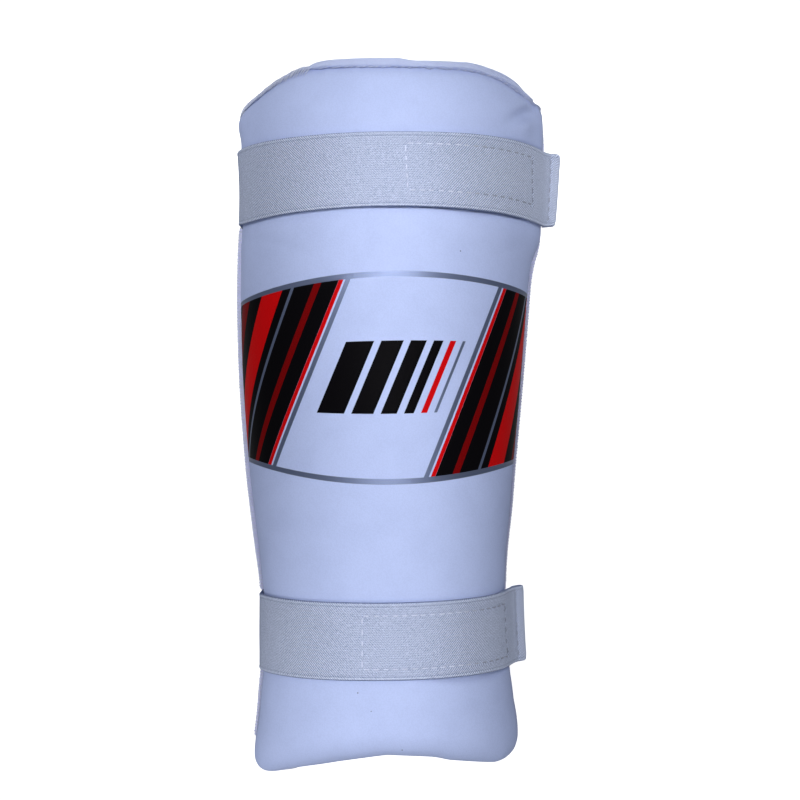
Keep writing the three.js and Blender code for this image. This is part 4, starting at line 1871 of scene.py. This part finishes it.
@dataclass
class HookPatch:
    """The hook tape sewn under a strap's free end."""

    strap: ElasticStrap
    bench: Workbench
    width: float = 20.5
    base: float = 0.55
    gap: float = 0.3
    hook_height: float = 0.75
    hook_pitch: float = 1.7
    hook_radius: float = 0.13
    hook_length: float = 0.5
    stop_short: float = 2.0
    columns: int = 90
    rows: int = 25

    def _under(self, along: Grid, across: Grid, depth: float) -> tuple[Grid, Grid]:
        """Finds places under the strap's inner face.

        Args:
            along: Distances along the strap.
            across: Distances from its middle.
            depth: Depth under its inner face.

        Returns:
            Points, and directions towards the strap.
        """
        point, out = self.strap.locate(along, across)
        flat = point - out * (self.strap.thickness + depth)
        return flat, out

    def build(self, finish: bpy.types.Material) -> bpy.types.Object:
        """Makes the tape and its hooks.

        Args:
            finish: Its material.

        Returns:
            The patch's object.
        """
        plan, shape = self.strap.plan, self.strap.shape
        start = self.strap.along_at(float(shape.section(plan.patch_from, plan.y, 0.0)[0]))
        free = self.strap.along_at(float(shape.section(plan.leaves, plan.y, 0.0)[0]))
        stop = free + plan.free - plan.hem - self.stop_short
        along = np.linspace(start, stop, self.columns)
        across = plan.patch_shift + np.linspace(-0.5, 0.5, self.rows) * self.width
        a, c = np.meshgrid(along, across, indexing="ij")
        upper, _ = self._under(a, c, self.gap)
        lower, _ = self._under(a, c, self.gap + self.base)
        points, faces = Workbench.slab(upper, lower)
        rows = np.arange(start + 1.5, stop - 1.0, self.hook_pitch)
        lines = plan.patch_shift + np.arange(-self.width / 2 + 1.2, self.width / 2 - 1.0, self.hook_pitch)
        ha, hc = (grid.ravel() for grid in np.meshgrid(rows, lines, indexing="ij"))
        foot, out = self._under(ha, hc, self.gap + self.base)
        ahead, _ = self._under(ha + self.hook_length, hc, self.gap + self.base)
        run = ahead - foot
        height = HOOK_HEIGHT * (self.hook_height - self.hook_radius)
        reached = foot[:, None] + HOOK_REACH[None, :, None] * run[:, None]
        paths = reached - height[None, :, None] * out[:, None]
        side = np.broadcast_to(np.array([0.0, 1.0, 0.0]), out.shape)
        hook_points, hook_faces, _ = Workbench.tubes(paths, side, self.hook_radius, sides=5)
        faces = np.concatenate([faces, hook_faces + len(points)])
        points = np.concatenate([points, hook_points])
        patch = self.bench.piece(f"hook_tape_{plan.name}", points, faces, None, finish)
        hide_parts(f"hook_patch_{plan.name}")
        return patch


class LoopStep(NamedTuple):
    """A step of a loop of thread over an edge: how far past or in from it, down or up, and on along it."""

    off: float
    level: float
    slant: float


class WhipRun(NamedTuple):
    """A run of thread whipped over a long rim: its side, -1 or 1, and its two ends along the arm."""

    side: float
    low: float
    high: float


END_LOOP = (
    LoopStep(-1.5, -0.1, 0.0), LoopStep(-0.5, -0.5, 0.3), LoopStep(0.7, -0.8, 0.6),
    LoopStep(1.25, 0.3, 0.8), LoopStep(1.25, 1.8, 1.0), LoopStep(0.6, 3.2, 1.2))
SIDE_LOOP = (
    LoopStep(1.9, 4.0, 0.0), LoopStep(0.8, 4.08, 0.25), LoopStep(-0.12, 2.85, 0.55),
    LoopStep(0.8, 1.66, 0.85), LoopStep(1.6, 1.7, 1.1))


@dataclass
class Stitching:
    """Rows of thread on the straps, the top seam and the cut edges."""

    shape: PadShape
    bench: Workbench
    strap_thread: bpy.types.Material
    edge_thread: bpy.types.Material
    radius: float = 0.26
    pitch: float = 3.6
    length: float = 2.2
    sink: float = 0.1
    seam_radius: float = 0.2
    seam_pitch: float = 2.9
    seam_length: float = 2.2
    seam_rise: float = 0.45
    seam_sink: float = 0.15
    seam_lean: float = 0.35
    seam_past: float = 0.15
    seam_under: float = 0.4
    seam_run: tuple[float, float] = (-0.36, 0.63)
    whip_pitch: float = 1.3
    whip_radius: float = 0.27
    whip_runs: tuple[WhipRun, ...] = (WhipRun(-1.0, -131.0, 108.0), WhipRun(1.0, -64.0, 126.0))
    overlock_radius: float = 0.3
    overlock_pitch: float = 1.3
    overlock_run: tuple[float, float] = (-0.98, -0.29)
    overlock_wider: float = 1.1
    wider_from: tuple[float, float] = (-0.6, -0.36)

    def strap_rows(self, strap: ElasticStrap) -> bpy.types.Object:
        """Sews the lines that hold a strap's hook tape and hem.

        Args:
            strap: The strap.

        Returns:
            The thread's object.
        """
        choice = np.random.default_rng(5 if strap.plan.name == "upper" else 6)
        firsts, lasts = [], []
        for first, last in strap.stitch_lines():
            run = np.array([last.along - first.along, last.across - first.across])
            span = float(np.hypot(*run))
            count = max(int(span / self.pitch), 2)
            starts = (np.arange(count) + 0.2 + choice.uniform(-0.06, 0.06, count)) * span / count
            ends = starts + self.length * choice.uniform(0.85, 1.1, count)
            origin = np.array([first.along, first.across])
            firsts.append(origin + starts[:, None] / span * run)
            lasts.append(origin + np.minimum(ends, span)[:, None] / span * run)
        a, b = np.concatenate(firsts), np.concatenate(lasts)
        share = np.linspace(0.0, 1.0, 7)[None, :, None]
        places = lerp(a[:, None, :], b[:, None, :], share)
        points, out = strap.locate(places[..., 0], places[..., 1])
        rise = arch(share) * (self.radius + self.sink) - self.sink
        paths = points + out * rise
        tubes = Workbench.tubes(paths, out[:, 3], self.radius)
        return self._thread(f"tape_stitches_{strap.plan.name}", tubes, self.strap_thread)

    def top_seam(self) -> bpy.types.Object:
        """Sews the pad to the rim along the top.

        Returns:
            The thread's object.
        """
        choice = np.random.default_rng(7)
        fine = np.linspace(*self.seam_run, 400)
        line = self._cover_points(fine, self.shape.top_seam(fine) + 0.1, 0.0)
        length = distance_along(line)
        starts = np.arange(0.5, length[-1] - 3.0, self.seam_pitch)
        starts = starts + choice.uniform(-0.3, 0.3, len(starts))
        ends = starts + self.seam_length * choice.uniform(0.8, 1.15, len(starts))
        share = np.linspace(0.0, 1.0, 6)[None, :]
        u = np.interp(lerp(starts[:, None], ends[:, None], share), length, fine)
        lean = lerp(-self.seam_lean, self.seam_lean, share) * choice.uniform(0.2, 1.0, (len(starts), 1))
        rise = self.seam_rise * arch(share) - self.seam_sink
        y = self.shape.top_seam(u) + self.seam_past + lean
        at_seam = self.shape.round_depth(self.shape.top_round, u)
        paths = self._cover_points(u, y, at_seam + self.seam_under - rise)
        out = np.broadcast_to(np.array([0.0, 0.35, 0.94]), (len(starts), 3))
        tubes = Workbench.tubes(paths, out, self.seam_radius)
        return self._thread("seam_stitches_top", tubes, self.edge_thread)

    def end_edge(self) -> bpy.types.Object:
        """Whips thread over the cut edge at the left of the top end.

        Returns:
            The thread's object.
        """
        choice = np.random.default_rng(8)
        fine = np.linspace(*self.overlock_run, 300)
        line = self._cover_points(fine, self.shape.top_seam(fine), 2.0)
        length = distance_along(line)
        places = np.arange(0.6, length[-1], self.overlock_pitch)
        places = places + choice.uniform(-0.25, 0.25, len(places))
        past, fall, slant = np.array(END_LOOP).T[:, None, :]
        u = np.interp(places[:, None] + slant, length, fine)
        wider = 1.0 + self.overlock_wider * smoothstep(u, *self.wider_from)
        past = np.where(past < 0, past * wider, past)
        y = self.shape.top_seam(u) + past * choice.uniform(0.75, 1.1, (len(places), 1))
        inner = np.minimum(y, self.shape.top_seam(u) - 0.02)
        at_seam = self.shape.round_depth(self.shape.top_round, u)
        depth = np.where(past < 0, self.shape.cover_depth(u, inner), at_seam)
        paths = self._cover_points(u, y, depth + fall)
        out = np.broadcast_to(np.array([0.6, 0.0, 0.8]), (len(places), 3))
        tubes = Workbench.tubes(paths, out, self.overlock_radius, sides=5)
        return self._thread("edge_stitches_top", tubes, self.edge_thread)

    def side_edges(self, panel: BackPanel) -> bpy.types.Object:
        """Whips thread over the rims along both long sides, between the straps.

        Args:
            panel: The panel that the rims belong to.

        Returns:
            The thread's object.
        """
        choice = np.random.default_rng(9)
        runs = []
        inward, height, slant = np.array(SIDE_LOOP).T[:, None, :]
        for run in self.whip_runs:
            y = np.arange(run.low, run.high, self.whip_pitch)
            y = y + choice.uniform(-0.25, 0.25, len(y))
            y = y[self.shape.beside_straps(y) > self.shape.strap_half]
            drawn_in = inward * choice.uniform(0.85, 1.1, (len(y), 1))
            along = y[:, None] + slant
            edge = panel.edge(np.full(along.shape, run.side), along)
            runs.append(np.stack([run.side * (edge - drawn_in), along, height + 0.0 * along], axis=-1))
        paths = np.concatenate(runs)
        out = np.broadcast_to(np.array([0.0, 1.0, 0.0]), (len(paths), 3))
        tubes = Workbench.tubes(paths, out, self.whip_radius, sides=5)
        return self._thread("edge_stitches_sides", tubes, self.edge_thread)

    def _cover_points(self, u: Grid, y: Grid, depth: Grid) -> Grid:
        """Places points at a depth below the plain cover."""
        x, z = self.shape.section(u, y, depth)
        return np.stack(np.broadcast_arrays(x, y, z), axis=-1)

    def _thread(self, name: str, tubes: tuple[Grid, Grid, Grid], finish: bpy.types.Material) -> bpy.types.Object:
        """Makes a piece of thread.

        Args:
            name: The piece's name.
            tubes: Its points, faces and chart.
            finish: Its material.

        Returns:
            The piece.
        """
        points, faces, chart = tubes
        thread = self.bench.piece(name, points, faces, chart, finish)
        return thread


class GridLight(NamedTuple):
    """A light with a grid: its place, aim and sides in metres, its beam in degrees and its watts."""

    name: str
    place: tuple[float, float, float]
    aim: tuple[float, float, float]
    width: float
    length: float
    spread: float
    power: float


@dataclass
class Studio:
    """The paper floor, the strip lights over the guard, the cards beside its ends, and the camera."""

    frame: Frame
    camera_x: float = 4.9
    camera_height: float = 650.0
    focal_pixels: float = 1532.0
    image_pixels: float = 800.0
    axis_row: float = 430.0
    sensor: float = 36.0
    clip: tuple[float, float] = (0.01, 20.0)
    fill: float = 0.37
    fill_colour: Colour = (0.95, 0.97, 1.0, 1.0)
    floor_reach: float = 2.5
    floor_lines: int = 21
    floor_drop: float = 0.0004
    lights: tuple[GridLight, ...] = (
        GridLight("strip_light_crest", (-0.001, 0.0125, 0.36), (-0.001, -0.0475, 0.06), 0.03, 0.405, 32.0,
                  0.087),
        GridLight("strip_light_left", (-0.083, 0.0, 0.36), (-0.083, 0.0, 0.0), 0.012, 0.4, 10.0, 0.028),
        GridLight("strip_light_right", (0.078, -0.02, 0.36), (0.078, -0.02, 0.0), 0.012, 0.4, 10.0, 0.03),
        GridLight("card_upper_left", (-0.22, 0.2, 0.2), (-0.04, 0.115, 0.03), 0.1, 0.1, 50.0, 0.013),
        GridLight("card_lower_left", (-0.22, -0.2, 0.2), (-0.04, -0.12, 0.03), 0.1, 0.1, 50.0, 0.016),
        GridLight("card_upper_right", (0.24, 0.18, 0.2), (0.04, 0.12, 0.04), 0.1, 0.1, 45.0, 0.009))

    def camera(self) -> None:
        """Puts the camera straight over the guard, as the photograph was taken."""
        data = bpy.data.cameras.new("camera")
        data.sensor_width = self.sensor
        data.sensor_fit = "HORIZONTAL"
        data.lens = self.focal_pixels / self.image_pixels * self.sensor
        data.clip_start, data.clip_end = self.clip
        camera = bpy.data.objects.new("camera", data)
        camera.location = self.frame.place([self.camera_x, 0.0, self.camera_height]).tolist()
        tilt = math.atan((self.axis_row - self.image_pixels / 2) / self.focal_pixels)
        camera.rotation_euler = (tilt, 0.0, 0.0)
        bpy.context.scene.collection.objects.link(camera)
        bpy.context.scene.camera = camera

    def floor(self, finish: bpy.types.Material) -> None:
        """Lays the paper.

        Args:
            finish: The paper's material.
        """
        ticks = np.linspace(-self.floor_reach, self.floor_reach, self.floor_lines)
        x, y = np.meshgrid(ticks, ticks, indexing="ij")
        number = np.arange(x.size).reshape(x.shape)
        faces = np.stack([number[:-1, :-1], number[1:, :-1], number[1:, 1:], number[:-1, 1:]], axis=-1)
        mesh = bpy.data.meshes.new("paper_floor")
        points = np.stack([x, y, np.full(x.shape, -self.floor_drop)], axis=-1)
        mesh.from_pydata(points.reshape(-1, 3).tolist(), [], faces.reshape(-1, 4).tolist())
        mesh.materials.append(finish)
        floor = bpy.data.objects.new("paper_floor", mesh)
        floor.visible_diffuse = False
        floor.visible_glossy = False
        bpy.context.scene.collection.objects.link(floor)

    def hang(self, light: GridLight) -> None:
        """Hangs one light.

        Args:
            light: Its place and make.
        """
        data = bpy.data.lights.new(light.name, "AREA")
        data.shape = "RECTANGLE"
        data.size = light.width
        data.size_y = light.length
        data.spread = math.radians(light.spread)
        data.energy = light.power
        lamp = bpy.data.objects.new(light.name, data)
        lamp.location = light.place
        lamp.rotation_euler = (Vector(light.aim) - Vector(light.place)).to_track_quat("-Z", "Y").to_euler()
        bpy.context.scene.collection.objects.link(lamp)

    def surroundings(self) -> None:
        """Fills the shadows with an even light from all round."""
        world = bpy.data.worlds.new("studio")
        world.use_nodes = True
        background = world.node_tree.nodes["Background"]
        background.inputs["Color"].default_value = self.fill_colour
        background.inputs["Strength"].default_value = self.fill
        bpy.context.scene.world = world
        bpy.context.scene.view_settings.view_transform = "Standard"


def main() -> None:
    """Builds the studio and every piece of the guard, in order."""
    logging.basicConfig(level=logging.INFO, format="%(name)s %(message)s")
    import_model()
    shape = PadShape()
    frame = Frame.from_pack(shape)
    studio = Studio(frame)
    studio.camera()
    studio.floor(PaperFloor().material())
    for light in studio.lights:
        studio.hang(light)
    studio.surroundings()
    bench = Workbench(frame)
    cover = Leathercloth()
    FrontPad(shape, bench, cover.band).build(cover.material())
    panel = BackPanel(shape, bench)
    panel.build(LiningCloth().material())
    elastic, tape = WovenElastic().material(), WovenTape().material()
    # The threads' darker colours are painted shade towards the right.
    strap_thread = SewingThread("strap_thread", painted_shade=ink(118, 126, 154)).material()
    edge_thread = SewingThread("edge_thread", painted_shade=ink(205, 211, 236)).material()
    stitching = Stitching(shape, bench, strap_thread, edge_thread)
    for plan in shape.straps:
        strap = ElasticStrap(plan, shape, bench)
        strap.build(elastic)
        HookPatch(strap, bench).build(tape)
        stitching.strap_rows(strap)
    stitching.top_seam()
    stitching.end_edge()
    stitching.side_edges(panel)


if __name__ == "__main__":
    main()
